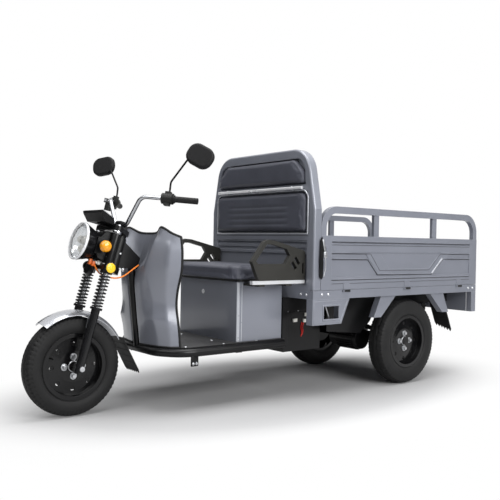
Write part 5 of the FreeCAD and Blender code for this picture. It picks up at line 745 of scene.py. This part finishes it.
def back_pads():
    """Two pads on the headboard: the upper one with cut corners, the lower one with sewn channels."""
    back, front = 0.8715, 0.912
    levels = [0.959 + 0.232 * share for share in (0.2, 0.35, 0.5, 0.65)]
    channel_depth, channel_width, channel_end, channel_fade = 0.0045, 0.0065, 0.3, 0.06

    def channels(place):
        if place.x < REAR_X + back + 0.02:
            return place
        depth = channel_depth * sum(exp(-((place.z - level) / channel_width) ** 2) for level in levels)
        ends = min(1.0, max(0.0, (channel_end - abs(place.y)) / channel_fade))
        return place - AHEAD * depth * ends

    for name, flat, radii, shape in (
        ("upper_pad_cover",
         ((-0.403, 1.24), (0.403, 1.24), (0.4, 1.302), (0.322, 1.379), (-0.322, 1.379), (-0.4, 1.302)),
         (0.012, 0.012, 0.05, 0.06, 0.06, 0.05), None),
        ("lower_pad_cover", ((-0.42, 0.963), (0.42, 0.963), (0.42, 1.187), (-0.42, 1.187)),
         (0.014, 0.014, 0.045, 0.045), channels),
    ):
        bm = bmesh.new()
        outlined_block(bm, round_corners(flat, radii), lambda y, z, x: at(x, y, z), back, front, edge=0.012)
        padded_piece(name, bm, "back_pads", "chassis", cap=0.004,
                     resting=lambda p: p.x < REAR_X + back + REST_BAND, shape=shape, pressure=1.5)


# Wheels

BEAD_RADIUS = 0.1525
TYRE_SIDES = 264
TREAD_ZONE, TREAD_EDGE = 0.03, 0.97
ZIGZAG_SWING, ZIGZAG_PITCH = 0.003, 0.036
GROOVE_LINES = (-0.3, 0.3)
GROOVE_DEPTH, GROOVE_HALF, GROOVE_SLOPE = 0.0055, 0.0022, 0.0018
SLOT_START, SLOT_EASE, SLOT_PITCH = 0.55, 0.08, 0.024
SLOT_DEPTH, SLOT_HALF, SLOT_SLOPE = 0.0045, 0.0022, 0.0022
WALL_RIDGES = ((0.02, 0.86, 0.0016), (0.05, 0.975, 0.0012))
RIDGE_HALF, RIDGE_ROOT = 0.0022, 0.003
NUT_RADIUS, NUT_HEIGHT, NUT_CIRCLE = 0.0122, 0.0165, 0.049
HUB_FACE = 0.022
VALVE_TURN = 0.4


def tyre_profile(radius, width):
    half, wall = width / 2, radius - BEAD_RADIUS
    places = [
        (half * 0.70, BEAD_RADIUS), (half * 0.78, BEAD_RADIUS + 0.014), (half * 0.93, BEAD_RADIUS + 0.03),
        (half * 0.995, BEAD_RADIUS + wall * 0.47), (half * 0.97, BEAD_RADIUS + wall * 0.66),
        (half * 0.88, radius - 0.0175), (half * 0.78, radius - 0.0095), (half * 0.4, radius - 0.0024),
        (0, radius - 0.0005),
    ]
    right = curve_through([Vector((*place, 0)) for place in places], 5)
    return right + [Vector((-p.x, p.y, 0)) for p in reversed(right[:-1])]


def spoke(turn):
    """The way out of a wheel's axle at a turn about it."""
    return Vector((cos(turn), 0, sin(turn)))


def groove(distance, floor, slope):
    """One inside a groove of the given half width, falling to zero over its slope."""
    return 1 - min(1.0, max(0.0, (distance - floor) / slope))


def tread_depth(across, half, turn, radius):
    """How deep the pattern cuts at a place on the tread."""
    along = turn * radius
    share = abs(across) / half
    if share > TREAD_EDGE:
        return 0.0
    zigzag = ZIGZAG_SWING * (abs((along / ZIGZAG_PITCH) % 2 - 1) * 2 - 1)
    off_lines = [abs(across - line * half - zigzag) for line in GROOVE_LINES]
    depth = max(GROOVE_DEPTH * groove(off, GROOVE_HALF, GROOVE_SLOPE) for off in off_lines)
    if SLOT_START < share:
        slot = abs((along / SLOT_PITCH) % 1 - 0.5) * SLOT_PITCH
        ease = min(1.0, (share - SLOT_START) / SLOT_EASE)
        depth = max(depth, SLOT_DEPTH * groove(slot, SLOT_HALF, SLOT_SLOPE) * ease)
    return depth


def tyre(name, node, body, centre, radius, width):
    profile = tyre_profile(radius, width)
    half = width / 2
    bm = bmesh.new()
    rows = []
    for index in range(TYRE_SIDES):
        turn = 2 * pi * index / TYRE_SIDES
        row = []
        for place in profile:
            cut = tread_depth(place.x, half, turn, radius) if place.y > radius - TREAD_ZONE else 0.0
            row.append(bm.verts.new(centre + spoke(turn) * (place.y - cut) + LEFT * place.x))
        rows.append(row)
    for row, after in zip(rows, rows[1:] + rows[:1]):
        join_rows(bm, row, after, closed=False)
        bm.faces.new((row[0], row[-1], after[-1], after[0]))
    for side in (1, -1):
        for rise, share, height in WALL_RIDGES:
            level, face = BEAD_RADIUS + rise, half * share
            root = face - RIDGE_ROOT
            ridge = ((level - RIDGE_HALF, root), (level, face + height), (level + RIDGE_HALF, root))
            lathe(bm, ridge, centre, LEFT * side, 120)
    piece(name, bm, body, "tyre", (node,), smooth=50)


def wheel_details(name, body, centre, side):
    """Bright nuts and a cap ring on the outer face of a wheel, its drum and its valve."""
    out = LEFT * side
    bm = bmesh.new()
    for index in range(4):
        place = centre + spoke(index * pi / 2) * NUT_CIRCLE + out * HUB_FACE
        bolt(bm, place, out, NUT_RADIUS, NUT_HEIGHT)
    cap = ((0.0262, 0), (0.0285, 0.001), (0.0285, 0.005), (0.0262, 0.006))
    lathe(bm, cap, centre + out * HUB_FACE, out, 40)
    piece(f"{name}_nuts", bm, body, "steel")
    bm = bmesh.new()
    lathe(bm, ((0.056, 0.005), (0.056, 0.0158), (0.118, 0.0158), (0.118, 0.005)), centre, out, 48)
    piece(f"{name}_drum", bm, body, "frame_black")
    bm = bmesh.new()
    stem = ((0.139, 0.012), (0.132, 0.03), (0.124, 0.043))
    tube(bm, [centre + spoke(VALVE_TURN) * reach + out * lift for reach, lift in stem], 0.0042, 10)
    piece(f"{name}_valve", bm, body, "rubber")


def wheels():
    tyre("front_tyre_tread", "front_tyre", "front_wheel", FRONT_AXLE, FRONT_RADIUS, FRONT_WIDTH)
    wheel_details("front", "front_wheel", FRONT_AXLE, 1)
    for word, side in SIDES:
        centre, body = at(0.0, REAR_WHEEL_Y * side, REAR_RADIUS), f"rear_wheel_{word}"
        tyre(f"rear_tyre_tread_{word}", f"rear_tyre_{word}", body, centre, REAR_RADIUS, REAR_WIDTH)
        wheel_details(f"rear_{word}", body, centre, side)


# Leg shield: each row has its level and then, by column, how far it lies ahead and out

SHIELD_ROWS = (
    (0, (0.45, 0.1), (0.7, 0.13), (0.66, 0.35), (0.51, 0.63), (0.27, 0.88), (0, 0.975)),
    (0.13, (0.5, 0.1), (0.76, 0.13), (0.73, 0.35), (0.58, 0.63), (0.31, 0.87), (0, 0.94)),
    (0.225, (0.55, 0.1), (0.83, 0.13), (0.83, 0.35), (0.72, 0.61), (0.4, 0.83), (0.02, 0.895)),
    (0.34, (0.59, 0.1), (0.87, 0.13), (0.81, 0.33), (0.64, 0.575), (0.35, 0.765), (0.03, 0.83)),
    (0.484, (0.65, 0.1), (0.95, 0.13), (0.91, 0.31), (0.78, 0.53), (0.42, 0.81), (0.03, 0.885)),
    (0.612, (0.61, 0.1), (0.96, 0.13), (0.97, 0.26), (0.93, 0.41), (0.46, 0.89), (0, 0.995)),
    (0.7, (0.46, 0.1), (0.5, 0.13), (0.6, 0.29), (0.9, 0.47), (0.46, 0.9), (0, 1)),
    (0.79, (0.36, 0.1), (0.37, 0.13), (0.4, 0.34), (0.8, 0.535), (0.42, 0.9), (0, 1)),
    (0.925, (0.2, 0.1), (0.21, 0.13), (0.24, 0.37), (0.6, 0.595), (0.3, 0.86), (0, 0.935)),
    (1.006, (0.1, 0.1), (0.11, 0.13), (0.13, 0.38), (0.45, 0.61), (0.22, 0.815), (0, 0.87)),
)
SHIELD_TOP = ((0, 0.925), (0.4, 0.93), (0.55, 0.985), (0.62, 1), (0.7, 0.985), (0.944, 0.895), (1.1, 0.8))
SHIELD_REACH, SHIELD_DEPTH, SHIELD_HALF, SHIELD_LOW, SHIELD_TALL = 1.640, 0.145, 0.287, 0.341, 0.64
SHIELD_SHEET, TRIM_RADIUS = 0.005, 0.0065
TOP_CREASE, CORNER_CREASE, ROW_CREASE = 0.2, 0.7, 0.7
COLUMN_CREASES = ((5, 0.85), (6, 0.85), (4, 0.6), (7, 0.6), (2, 0.8), (9, 0.8), (1, 0.7), (10, 0.7))


def shield_top(out):
    for (a, low), (b, high) in zip(SHIELD_TOP, SHIELD_TOP[1:]):
        if a <= out <= b:
            return low + (high - low) * (out - a) / (b - a)
    return SHIELD_TOP[-1][1]


def shield_column(column):
    """One column of the shield from floor to its trimmed top, as (level, forward, outward)."""
    line = [(row[0], *row[column]) for row in SHIELD_ROWS]
    top = shield_top(line[-2][2])
    kept = [p for p in line if p[0] < top - 0.06]
    for low, high in zip(line, line[1:]):
        if low[0] <= top <= high[0]:
            t = (top - low[0]) / (high[0] - low[0])
            end = tuple(a + (b - a) * t for a, b in zip(low, high))
    rows = len(SHIELD_ROWS) - 1
    if len(kept) < rows:
        kept.append(tuple((a + b) / 2 for a, b in zip(kept[-1], end)))
    return kept[:rows] + [end]


def shield_place(level, forward, outward):
    return at(SHIELD_REACH + SHIELD_DEPTH * forward, SHIELD_HALF * outward, SHIELD_LOW + SHIELD_TALL * level)


def leg_shield():
    columns = [shield_column(index) for index in range(1, 7)]
    mirrored = [[(level, ahead, -out) for level, ahead, out in column] for column in reversed(columns)]
    bm = bmesh.new()
    crease = bm.edges.layers.float.new("crease_edge")
    grid = [[bm.verts.new(shield_place(*place)) for place in line] for line in mirrored + columns]
    pairs = list(zip(grid, grid[1:]))
    for left, right in pairs:
        join_rows(bm, left, right, closed=False)
    for column, sharp in COLUMN_CREASES:
        for low, high in zip(grid[column], grid[column][1:]):
            bm.edges.get((low, high))[crease] = sharp
    for column in (1, 2, 9, 10):
        bm.edges.get(grid[column][-2:])[crease] = TOP_CREASE
    for left, right in pairs[:3] + pairs[-3:]:
        bm.edges.get((left[2], right[2]))[crease] = ROW_CREASE
    for corner in (grid[0][0], grid[0][-1], grid[-1][0], grid[-1][-1]):
        for e in corner.link_edges:
            if e.is_boundary:
                e[crease] = CORNER_CREASE
    shield = piece("leg_shield_shell", bm, "chassis", "body_paint", ("leg_shield",), smooth=180)
    subdivide(shield, 3)
    rim = rim_of(shield.data)
    wall = shield.modifiers.new("sheet", "SOLIDIFY")
    wall.thickness = SHIELD_SHEET
    wall.offset = -1.0 if sum(p.normal.x for p in shield.data.polygons) > 0 else 1.0
    apply_modifiers(shield)
    shade_smooth(shield.data)
    shield.data.set_sharp_from_angle(angle=radians(50))
    bm = bmesh.new()
    tube(bm, [p - AHEAD * (SHIELD_SHEET / 2) for p in rim], TRIM_RADIUS, 10, closed=True)
    piece("leg_shield_trim", bm, "chassis", "rubber")


def rim_of(mesh):
    """The boundary of an open sheet as one ring of places."""
    bm = bmesh.new()
    bm.from_mesh(mesh)
    edges = [e for e in bm.edges if e.is_boundary]
    start = edges[0].verts[0]
    ring, vert, last = [], start, None
    while True:
        ring.append(vert.co.copy())
        step = next(e for e in vert.link_edges if e.is_boundary and e is not last)
        vert, last = step.other_vert(vert), step
        if vert is start:
            break
    bm.free()
    return ring


# Springs

def fork_springs():
    """Round-wire coils with closed ends on the two stanchions."""
    low, high, radius, wire, turns, end_ease = 0.3165, 0.4845, 0.025, 0.0041, 10, 0.018
    count = turns * 40
    for word, side in SIDES:
        points = []
        for index in range(count + 1):
            share = index / count
            turn = 2 * pi * turns * share
            ease = share - end_ease * sin(2 * pi * share)
            y = FORK_LEG_Y * side + radius * sin(turn)
            points.append(fork(radius * cos(turn), y, low + (high - low) * ease))
        bm = bmesh.new()
        tube(bm, points, wire, 10)
        name = f"fork_spring_coil_{word}"
        spring = piece(name, bm, "steering", "frame_black", ("fork_springs",), smooth=180)
        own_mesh(spring)


def leaf_springs():
    bm = mesh_of("leaf_springs")
    springs = piece("leaf_spring_packs", bm, "chassis", "frame_black", ("leaf_springs",))
    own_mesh(springs)


# Headlight and signals

LAMP_RING = (
    (0.0875, -0.012), (0.0905, -0.004), (0.094, 0.0), (0.0985, -0.001), (0.0998, -0.005), (0.0992, -0.012),
)
LAMP_DISH = ((0.086, -0.016), (0.082, -0.024), (0.07, -0.04), (0.05, -0.052), (0.026, -0.058), (0.0, -0.059))
PROJECTOR = (
    (0.021, -0.056), (0.021, -0.030), (0.0195, -0.026), (0.017, -0.027), (0.016, -0.022), (0.01, -0.0175),
    (0.0, -0.016),
)
SIGNAL_CUP = ((0, 0), (0.022, 0), (0.0305, 0.004), (0.0308, 0.009), (0.0, 0.009))
REFLECTOR_CUP = ((0, 0), (0.02, 0), (0.0275, 0.003), (0.0278, 0.0115), (0.0255, 0.0122), (0.0, 0.0122))
REFLECTOR_DISC = (
    (0, 0.010), (0.0252, 0.0115), (0.0252, 0.0142), (0.023, 0.0156), (0.012, 0.0168), (0.0, 0.017),
)


def headlight():
    centre = fork(LAMP_REACH, 0, LAMP_RISE)
    bm = bmesh.new()
    lathe(bm, LAMP_RING, centre, FORK_AHEAD, 72)
    piece("headlight_ring", bm, "steering", "bright_metal", material=lamp_white)
    bm = bmesh.new()
    lathe(bm, LAMP_DISH, centre, FORK_AHEAD, 24)
    piece("headlight_dish", bm, "steering", "bright_metal", material=mirror_glass, smooth=5)
    bm = bmesh.new()
    for y, w in ((-0.034, 0.014), (0.034, 0.014), (0.0, -0.034)):
        lathe(bm, PROJECTOR, centre + LEFT * y + FORK_UP * w, FORK_AHEAD, 28)
    piece("headlight_projectors", bm, "steering", "clear_glass", material=white_plastic)


def signal_dome():
    """The ribbed outline of an amber lens."""
    foot = 0.0298
    ribs = [
        (foot - foot * (k / 9) ** 2.6, 0.007 + 0.0305 * sin(k / 9 * pi / 2)) for k in range(10)
    ]
    line = [(0.0, 0.006), (foot, 0.006)]
    for (r0, h0), (r1, h1) in zip(ribs, ribs[1:]):
        line += [(r0, h0), ((r0 + r1) / 2 + 0.0004, (h0 + h1) / 2 + 0.0004)]
    return line + [(0.0, 0.0375)]


def signals():
    """Ribbed amber domes and faceted yellow reflectors in black cups on both sides."""
    dome, disc = (Vector((1.16572, 0, 0.86219)), 0.1117), (Vector((1.13981, 0, 0.75290)), 0.122)
    for name, profile, (place, start), slot, material in (
        ("signal_cups", SIGNAL_CUP, dome, "trim_black", None),
        ("signal_domes", signal_dome(), dome, "amber_lens", None),
        ("reflector_cups", REFLECTOR_CUP, disc, "trim_black", None),
        ("reflector_discs", REFLECTOR_DISC, disc, "amber_lens", yellow_lens),
    ):
        bm = bmesh.new()
        for side in (1, -1):
            lathe(bm, profile, place + LEFT * start * side, LEFT * side, 36)
        piece(name, bm, "steering", slot, ("turn_signals",), material, smooth=30)


# Fork and mirrors

FORK_SLEEVE = (
    (0.0152, 0.5365), (0.0195, 0.537), (0.0205, 0.545), (0.0205, 0.69), (0.0195, 0.6985), (0.0152, 0.699),
)
FORK_COLLAR = (
    (0.0152, 0.6992), (0.0215, 0.6995), (0.022, 0.703), (0.022, 0.7125), (0.0215, 0.7155), (0.0152, 0.7155),
)
LAMP_CHEEK = ((0.016, 0.545), (0.058, 0.556), (0.074, 0.585), (0.074, 0.655), (0.05, 0.694), (0.016, 0.704))
CHEEK_IN, CHEEK_OUT = 0.0765, 0.0795
POD_TRIM = ((0.03, 0.0825, 0.7745), (0.075, 0.0985, 0.7835), (0.117, 0.1115, 0.7925))
POD_TRIM_RADIUS = 0.0026


def fork_dressing():
    """Covers and collars on the fork tubes, cheeks beside the lamp, its connectors and the pod's trim."""
    bm = bmesh.new()
    for side in (1, -1):
        lathe(bm, FORK_SLEEVE, fork(0, FORK_LEG_Y * side, 0), FORK_UP, 32)
        outlined_block(bm, LAMP_CHEEK, lambda u, w, y: fork(u, y, w), CHEEK_IN * side, CHEEK_OUT * side)
    soft_block(bm, fork(0.006, 0, 0.683), FORK_AHEAD, FORK_UP, (0.05, 0.11, 0.05), 0.01)
    soft_block(bm, fork(0.012, 0, 0.56), FORK_AHEAD, FORK_UP, (0.044, 0.12, 0.036), 0.01)
    piece("fork_covers", bm, "steering", "frame_black")
    bm = bmesh.new()
    for side in (1, -1):
        lathe(bm, FORK_COLLAR, fork(0, FORK_LEG_Y * side, 0), FORK_UP, 32)
        tube(bm, [fork(u, y * side, w) for u, y, w in POD_TRIM], POD_TRIM_RADIUS, 10)
    piece("fork_collars", bm, "steering", "bright_metal")
    for name, material, blocks in (
        ("lamp_connectors", orange_plastic, (((2.030, 0.03, 0.783), (0.018, 0.014, 0.03), 0.003),
                                             ((2.016, 0.038, 0.772), (0.018, 0.014, 0.026), 0.003))),
        ("lamp_socket", white_plastic, (((1.984, 0.045, 0.775), (0.03, 0.02, 0.022), 0.003),
                                        ((1.998, 0.042, 0.779), (0.02, 0.012, 0.014), 0.002))),
    ):
        bm = bmesh.new()
        for place, size, edge in blocks:
            soft_block(bm, at(*place), FORK_AHEAD, FORK_UP, size, edge)
        piece(name, bm, "steering", "orange_lead", material=material)
    bm = bmesh.new()
    for reach, z in ((1.859, 0.823), (1.841, 0.737)):
        for side in (1, -1):
            bolt(bm, at(reach, 0.0258 * side, z), LEFT * side, 0.006, 0.006)
    piece("gusset_bolts", bm, "chassis", "steel")


def mirror_faces():
    """Silvered glass let into the rider's side of each mirror."""
    facing_away, least_area, glass_lift = -0.995, 2e-5, 0.0012
    for word, yaw in (("left", 42), ("right", 30)):
        turn = radians(yaw)
        out = FORK_AHEAD * cos(turn) + LEFT * sin(turn)
        skin_of(f"mirror_glass_{word}", f"mirror_{word}",
                lambda f: f.normal.dot(out) < facing_away and f.calc_area() > least_area,
                glass_lift, f"mirror_{word}", "gloss_black", mirror_glass)


# Pressed lines, trim and fittings

BEAD_LINE = ((-0.5, 0), (-0.36, 0.7), (-0.14, 1), (0.14, 1), (0.36, 0.7), (0.5, 0))


def bead(bm, path, normal, width, height, closed=False):
    """A half-round raised line along a flat path."""
    rows, count = [], len(path)
    for index, place in enumerate(path):
        ways = []
        if index or closed:
            ways.append((place - path[index - 1]).normalized())
        if index + 1 < count or closed:
            ways.append((path[(index + 1) % count] - place).normalized())
        way = sum(ways, Vector()).normalized()
        side = normal.cross(way) / max(0.5, way.dot(ways[0]))
        rows.append([bm.verts.new(place + side * (across * width) + normal * (rise * height))
                     for across, rise in BEAD_LINE])
    join_run(bm, rows, closed)


def pressed_lines(name, body, place, normal, ends, corners):
    """Ridges of a gate with a painted shadow line under each: two grooves and the stepped outline between
    them.
    """
    front, rear = ends
    (a, b, c, e), (f, g, h, k) = corners
    lines = [((front, z), (rear, z)) for z in (0.9105, 0.8945, 0.69)]
    lines.append(((front, 0.844), (a, 0.843), (b, 0.743), (c, 0.741), (e, 0.844), (rear, 0.844)))
    lines.append(((front, 0.81), (f, 0.808), (g, 0.716), (h, 0.711), (k, 0.81), (rear, 0.809)))
    # the lines are dark paint just under each ridge, a painted shadow
    for word, drop, width, height, material in (
        ("ridges", 0.0, 0.008, 0.0062, None), ("lines", 0.0062, 0.005, 0.0056, shadow_line_paint),
    ):
        bm = bmesh.new()
        for line in lines:
            bead(bm, [place(along, z - drop) for along, z in line], normal, width, height)
        piece(f"{name}_{word}", bm, body, "body_paint", material=material)


def hinge_sleeves(name, body, places, way):
    bm = bmesh.new()
    for place in places:
        tube(bm, [place - way * HINGE_HALF, place + way * HINGE_HALF], SLEEVE_RADIUS, 14)
    piece(f"{name}_hinge_sleeves", bm, body, "frame_black")


def gate_dressing():
    field = ((0.325, 0.8365), (0.458, 0.8365), (0.345, 0.7165), (0.21, 0.7105))
    field_y, seam_z, hinge_y, tail_face, tail_hinge = 0.4884, 0.664, 0.497, -1.5106, -1.52385
    for word, side in SIDES:
        name, body, out, face = f"gate_{word}", f"side_gate_{word}", LEFT * side, GATE_FACE_Y * side
        pressed_lines(name, body, lambda a, z: at(a, face, z), out, (0.7485, -0.6045),
                      ((0.416, 0.332, -0.154, -0.274), (0.439, 0.349, -0.181, -0.310)))
        bm = bmesh.new()
        # the seam is drawn as a painted shadow line in dark paint
        bead(bm, [at(reach, BED_SIDE_Y * side, seam_z) for reach in (0.748, -0.604)], out, 0.004, 0.001)
        piece(f"{name}_seam", bm, body, "body_paint", material=shadow_line_paint)
        bm = bmesh.new()
        outlined_block(bm, field, beside, face, field_y * side)
        piece(f"{name}_field", bm, body, "body_paint")
        sleeves = [Vector((x, hinge_y * side, HINGE_Z)) for x in (-1.3111, -0.7549, -0.1986)]
        hinge_sleeves(name, body, sleeves, AHEAD)
        bm = bmesh.new()
        # a plain bright strip at the badge's end, in the pale painted-highlight paint
        bead(bm, [at(-0.188, face, 0.713), at(-0.296, face, 0.809)], out, 0.016, 0.0075)
        piece(f"{name}_strip", bm, body, "bright_metal", material=highlight_paint)
    pressed_lines("tailgate", "tailgate", lambda a, z: Vector((tail_face, a, z)), -AHEAD, (0.367, -0.367),
                  ((0.25, 0.19, -0.19, -0.25), (0.275, 0.21, -0.21, -0.275)))
    sleeves = [Vector((tail_hinge, y, HINGE_Z)) for y in (-0.28992, 0.28992)]
    hinge_sleeves("tailgate", "tailgate", sleeves, LEFT)


def latch_levers():
    """A bright over-centre lever on the black plate of each latch."""
    places = {
        "latch_front_left": lambda a, o, z: Vector((0.007 + a, 0.505 + o, z)),
        "latch_front_right": lambda a, o, z: Vector((0.007 + a, -0.505 - o, z)),
        "latch_rear_left": lambda a, o, z: Vector((-1.5318 - o, 0.465 + a, z)),
        "latch_rear_right": lambda a, o, z: Vector((-1.5318 - o, -0.465 - a, z)),
    }
    handle = ((-0.008, 0.005, 0.825), (-0.013, 0.006, 0.79), (-0.012, 0.006, 0.745), (-0.002, 0.003, 0.708))
    for body, place in places.items():
        out = (place(0, 1, 0) - place(0, 0, 0)).normalized()
        slant = place(0.013, 0.0, 0.92) - place(-0.009, 0.0, 0.84)
        bm = bmesh.new()
        soft_block(bm, place(-0.006, 0.004, 0.868), slant, out, (0.105, 0.011, 0.006), 0.0022)
        soft_block(bm, place(-0.010, 0.006, 0.832), UP, out, (0.034, 0.024, 0.011), 0.004)
        tube(bm, curve_through([place(*step) for step in handle], 5), 0.003, 10)
        bolt(bm, place(-0.010, 0.010, 0.832), out, 0.005, 0.004)
        piece(f"{body}_lever", bm, body, "steel")


def headboard_dressing():
    """Frame round the lower pad in pale painted-highlight paint, painted shadow lines along the seams under
    and beside it, and clips on the grab bar.
    """
    flat = ((-0.435, 0.9505), (0.435, 0.9505), (0.435, 1.2005), (-0.435, 1.2005))
    ring = [at(BOARD_FACE, q.x, q.y) for q in round_corners(flat, (0.006, 0.006, 0.05, 0.05))]
    # the frame's pale paint is a painted highlight along the pad's edge
    bm = bmesh.new()
    bead(bm, ring, AHEAD, 0.0095, 0.0045, closed=True)
    piece("lower_pad_frame", bm, "chassis", "body_paint", material=highlight_paint)
    # painted shadow: dark lines along the headboard's seams
    bm = bmesh.new()
    for z, half in ((0.939, 0.442), (0.9125, 0.432)):
        bead(bm, [at(BOARD_FACE, y, z) for y in (-half, half)], AHEAD, 0.0045, 0.0012)
    for side in (1, -1):
        bead(bm, [at(BOARD_FACE, 0.4455 * side, z) for z in (0.95, 1.15)], AHEAD, 0.004, 0.0012)
    piece("headboard_seam_shadows", bm, "chassis", "body_paint", material=shadow_line_paint)
    bm = bmesh.new()
    for y in (-0.31, 0.31):
        soft_block(bm, at(0.9035, y, 1.213), AHEAD, UP, (0.02, 0.014, 0.027), 0.004)
        bolt(bm, at(0.9132, y, 1.213), AHEAD, 0.004, 0.004)
    piece("grab_bar_clips", bm, "chassis", "steel")


def body_fittings():
    """Corner posts of the seat box in painted-highlight paint, frames of the step brackets, floor covering,
    bed ribs and screws.
    """
    window = ((-0.147, 0.457), (-0.0145, 0.457), (-0.0145, 0.541), (-0.147, 0.541))
    border = ((0.056, 0.443), (-0.157, 0.443), (-0.211, 0.565), (0.056, 0.565))
    posts, frames = bmesh.new(), bmesh.new()
    for side in (1, -1):
        out = LEFT * side
        # the posts' pale paint is a painted highlight on the box's front corners
        for x, width, height in ((0.4365, 0.021, 0.0045), (0.412, 0.006, 0.0014)):
            bead(posts, [Vector((x, SEAT_BOX_Y * side, z)) for z in (0.345, 0.671)], out, width, height)
        for outline, width, height in ((window, 0.011, 0.0045), (border, 0.006, 0.002)):
            ring = [Vector((x, BED_SIDE_Y * side, z)) for x, z in outline]
            bead(frames, ring, out, width, height, closed=True)
    piece("seat_box_post_highlights", posts, "chassis", "body_paint", material=highlight_paint)
    piece("step_frames", frames, "chassis", "body_paint")
    bed_screw, floor_screw = (0.0085, 0.005), (0.008, 0.004)
    bm = bmesh.new()
    for side in (1, -1):
        for reach in (0.824, 0.773, -0.6, -0.65):
            screw(bm, at(reach, BED_SIDE_Y * side, 0.604), LEFT * side, *bed_screw)
        for y in (0.386, 0.434):
            screw(bm, at(BOARD_FACE, y * side, 0.602), AHEAD, *bed_screw)
        for reach, y in ((1.366, 0.292), (1.608, 0.285), (1.14, 0.295), (1.348, 0.154)):
            screw(bm, at(reach, y * side, FLOOR_TOP), UP, *floor_screw)
    piece("body_screws", bm, "chassis", "steel")
    skin_of("floor_covering", "floor_plate", lambda f: f.normal.z > 0.99 and f.calc_center_median().z > 0.34,
            0.002, "chassis", "rubber", floor_mat)
    bm = bmesh.new()
    rib_pitch = 0.12
    for index in range(7):
        y = (index - 3) * rib_pitch
        bead(bm, [at(reach, y, BED_TOP) for reach in (0.8, -0.65)], UP, 0.026, 0.0045)
    piece("bed_ribs", bm, "chassis", "body_paint")


def under_fittings():
    """Inner splash panels, connectors on the battery box and the small bracket under the floor hoop."""
    panel = ((0.11, 0.575), (0.6, 0.575), (0.6, 0.36), (0.3, 0.33), (0.21, 0.4), (0.15, 0.49))
    panel_in, panel_out, rib_foot = 0.3055, 0.3085, 0.3083
    bm = bmesh.new()
    for side in (1, -1):
        outlined_block(bm, panel, beside, panel_in * side, panel_out * side)
        for reach, low in ((0.585, 0.46), (0.45, 0.445)):
            bead(bm, [at(reach, rib_foot * side, z) for z in (0.56, low)], LEFT * side, 0.02, 0.004)
        soft_block(bm, at(1.572, 0.318 * side, 0.272), AHEAD, UP, (0.046, 0.008, 0.056), 0.003)
    piece("splash_panels", bm, "chassis", "frame_black")
    bm = bmesh.new()
    for side in (1, -1):
        for reach in (1.562, 1.582):
            bolt(bm, at(reach, 0.3218 * side, 0.258), LEFT * side, 0.005, 0.005)
    for reach in (0.62, 0.7, 0.78, 0.86):
        screw(bm, at(reach, 0.2498, 0.4905) - LEFT * 0.004, LEFT, 0.005, 0.004)
    piece("bracket_bolts", bm, "chassis", "steel")
    bm = bmesh.new()
    for reach, z, wide in ((0.809, 0.435, 0.032), (0.731, 0.429, 0.02), (0.723, 0.466, 0.012)):
        soft_block(bm, at(reach, 0.2505, z), AHEAD, UP, (wide, 0.013, 0.021), 0.003)
    piece("battery_sockets", bm, "chassis", "battery_grey", material=white_plastic)
    bm = bmesh.new()
    for shift in (0.0, 0.014):
        route = [at(0.736 + shift, 0.2485, 0.421), at(0.744 + shift, 0.2492, 0.39),
                 at(0.742 + shift * 0.6, 0.2492, 0.36), at(0.756, 0.2475, 0.335)]
        tube(bm, curve_through(route, 5), 0.0028, 8)
    piece("battery_wires", bm, "chassis", "battery_grey", material=red_wire)
    bm = bmesh.new()
    for side in (1, -1):
        rod = [Vector((x, 0.455 * side, z)) for x, z in ((-0.062, 0.545), (-0.078, 0.51), (-0.104, 0.448))]
        tube(bm, rod, 0.004, 10)
    piece("step_rods", bm, "chassis", "steel")


def toothed_flap(name, node, body, top, low, sides, lengths, teeth=6):
    """A rubber flap with a ragged lower edge, slanting from its top line to its low line."""
    half_sheet, bite, rib_foot, rib_share = 0.0024, 0.02, 0.0022, 0.9
    down = (low - top).normalized()
    out = down.cross(LEFT)
    (y0, y1), (long0, long1) = sides, lengths
    outline = [(y0, 0.0), (y1, 0.0)]
    for index in range(2 * teeth + 1):
        share = index / (2 * teeth)
        drop = long1 + (long0 - long1) * share - (0.0 if index % 2 else bite)
        outline.append((y1 + (y0 - y1) * share, drop))

    def spot(y, drop, lift):
        return top + LEFT * y + down * drop + out * lift

    bm = bmesh.new()
    outlined_block(bm, outline, spot, -half_sheet, half_sheet)
    inset = (y1 - y0) * 0.06
    for level in (0.2, 0.4, 0.6, 0.8):
        for face in (1, -1):
            drop = level * min(lengths) * rib_share
            line = [spot(y, drop, rib_foot * face) for y in (y0 + inset, y1 - inset)]
            bead(bm, line, out * face, 0.006, 0.002)
    piece(name, bm, body, "rubber", (node,))


def mud_flaps():
    top, low = Vector((-1.1835, 0, 0.5385)), Vector((-1.2630, 0, 0.3660))
    toothed_flap("rear_flap_left", "rear_mud_flaps", "chassis", top, low, (0.337, 0.459), (0.216, 0.258))
    toothed_flap("rear_flap_right", "rear_mud_flaps", "chassis", top, low, (-0.459, -0.337), (0.258, 0.216))
    top, low = Vector((1.0325, 0, 0.3855)), Vector((0.9322, 0, 0.1975))
    toothed_flap("front_flap", "front_mud_flap", "fork_slider", top, low, (-0.073, 0.073), (0.222, 0.222), 7)


set_camera()
set_world()
set_floor()
set_lamps()
set_flags()
dress_nodes()
lamp_lead()
seat_cushion()
back_pads()
wheels()
leg_shield()
fork_springs()
leaf_springs()
headlight()
signals()
fork_dressing()
mirror_faces()
gate_dressing()
latch_levers()
headboard_dressing()
body_fittings()
under_fittings()
mud_flaps()
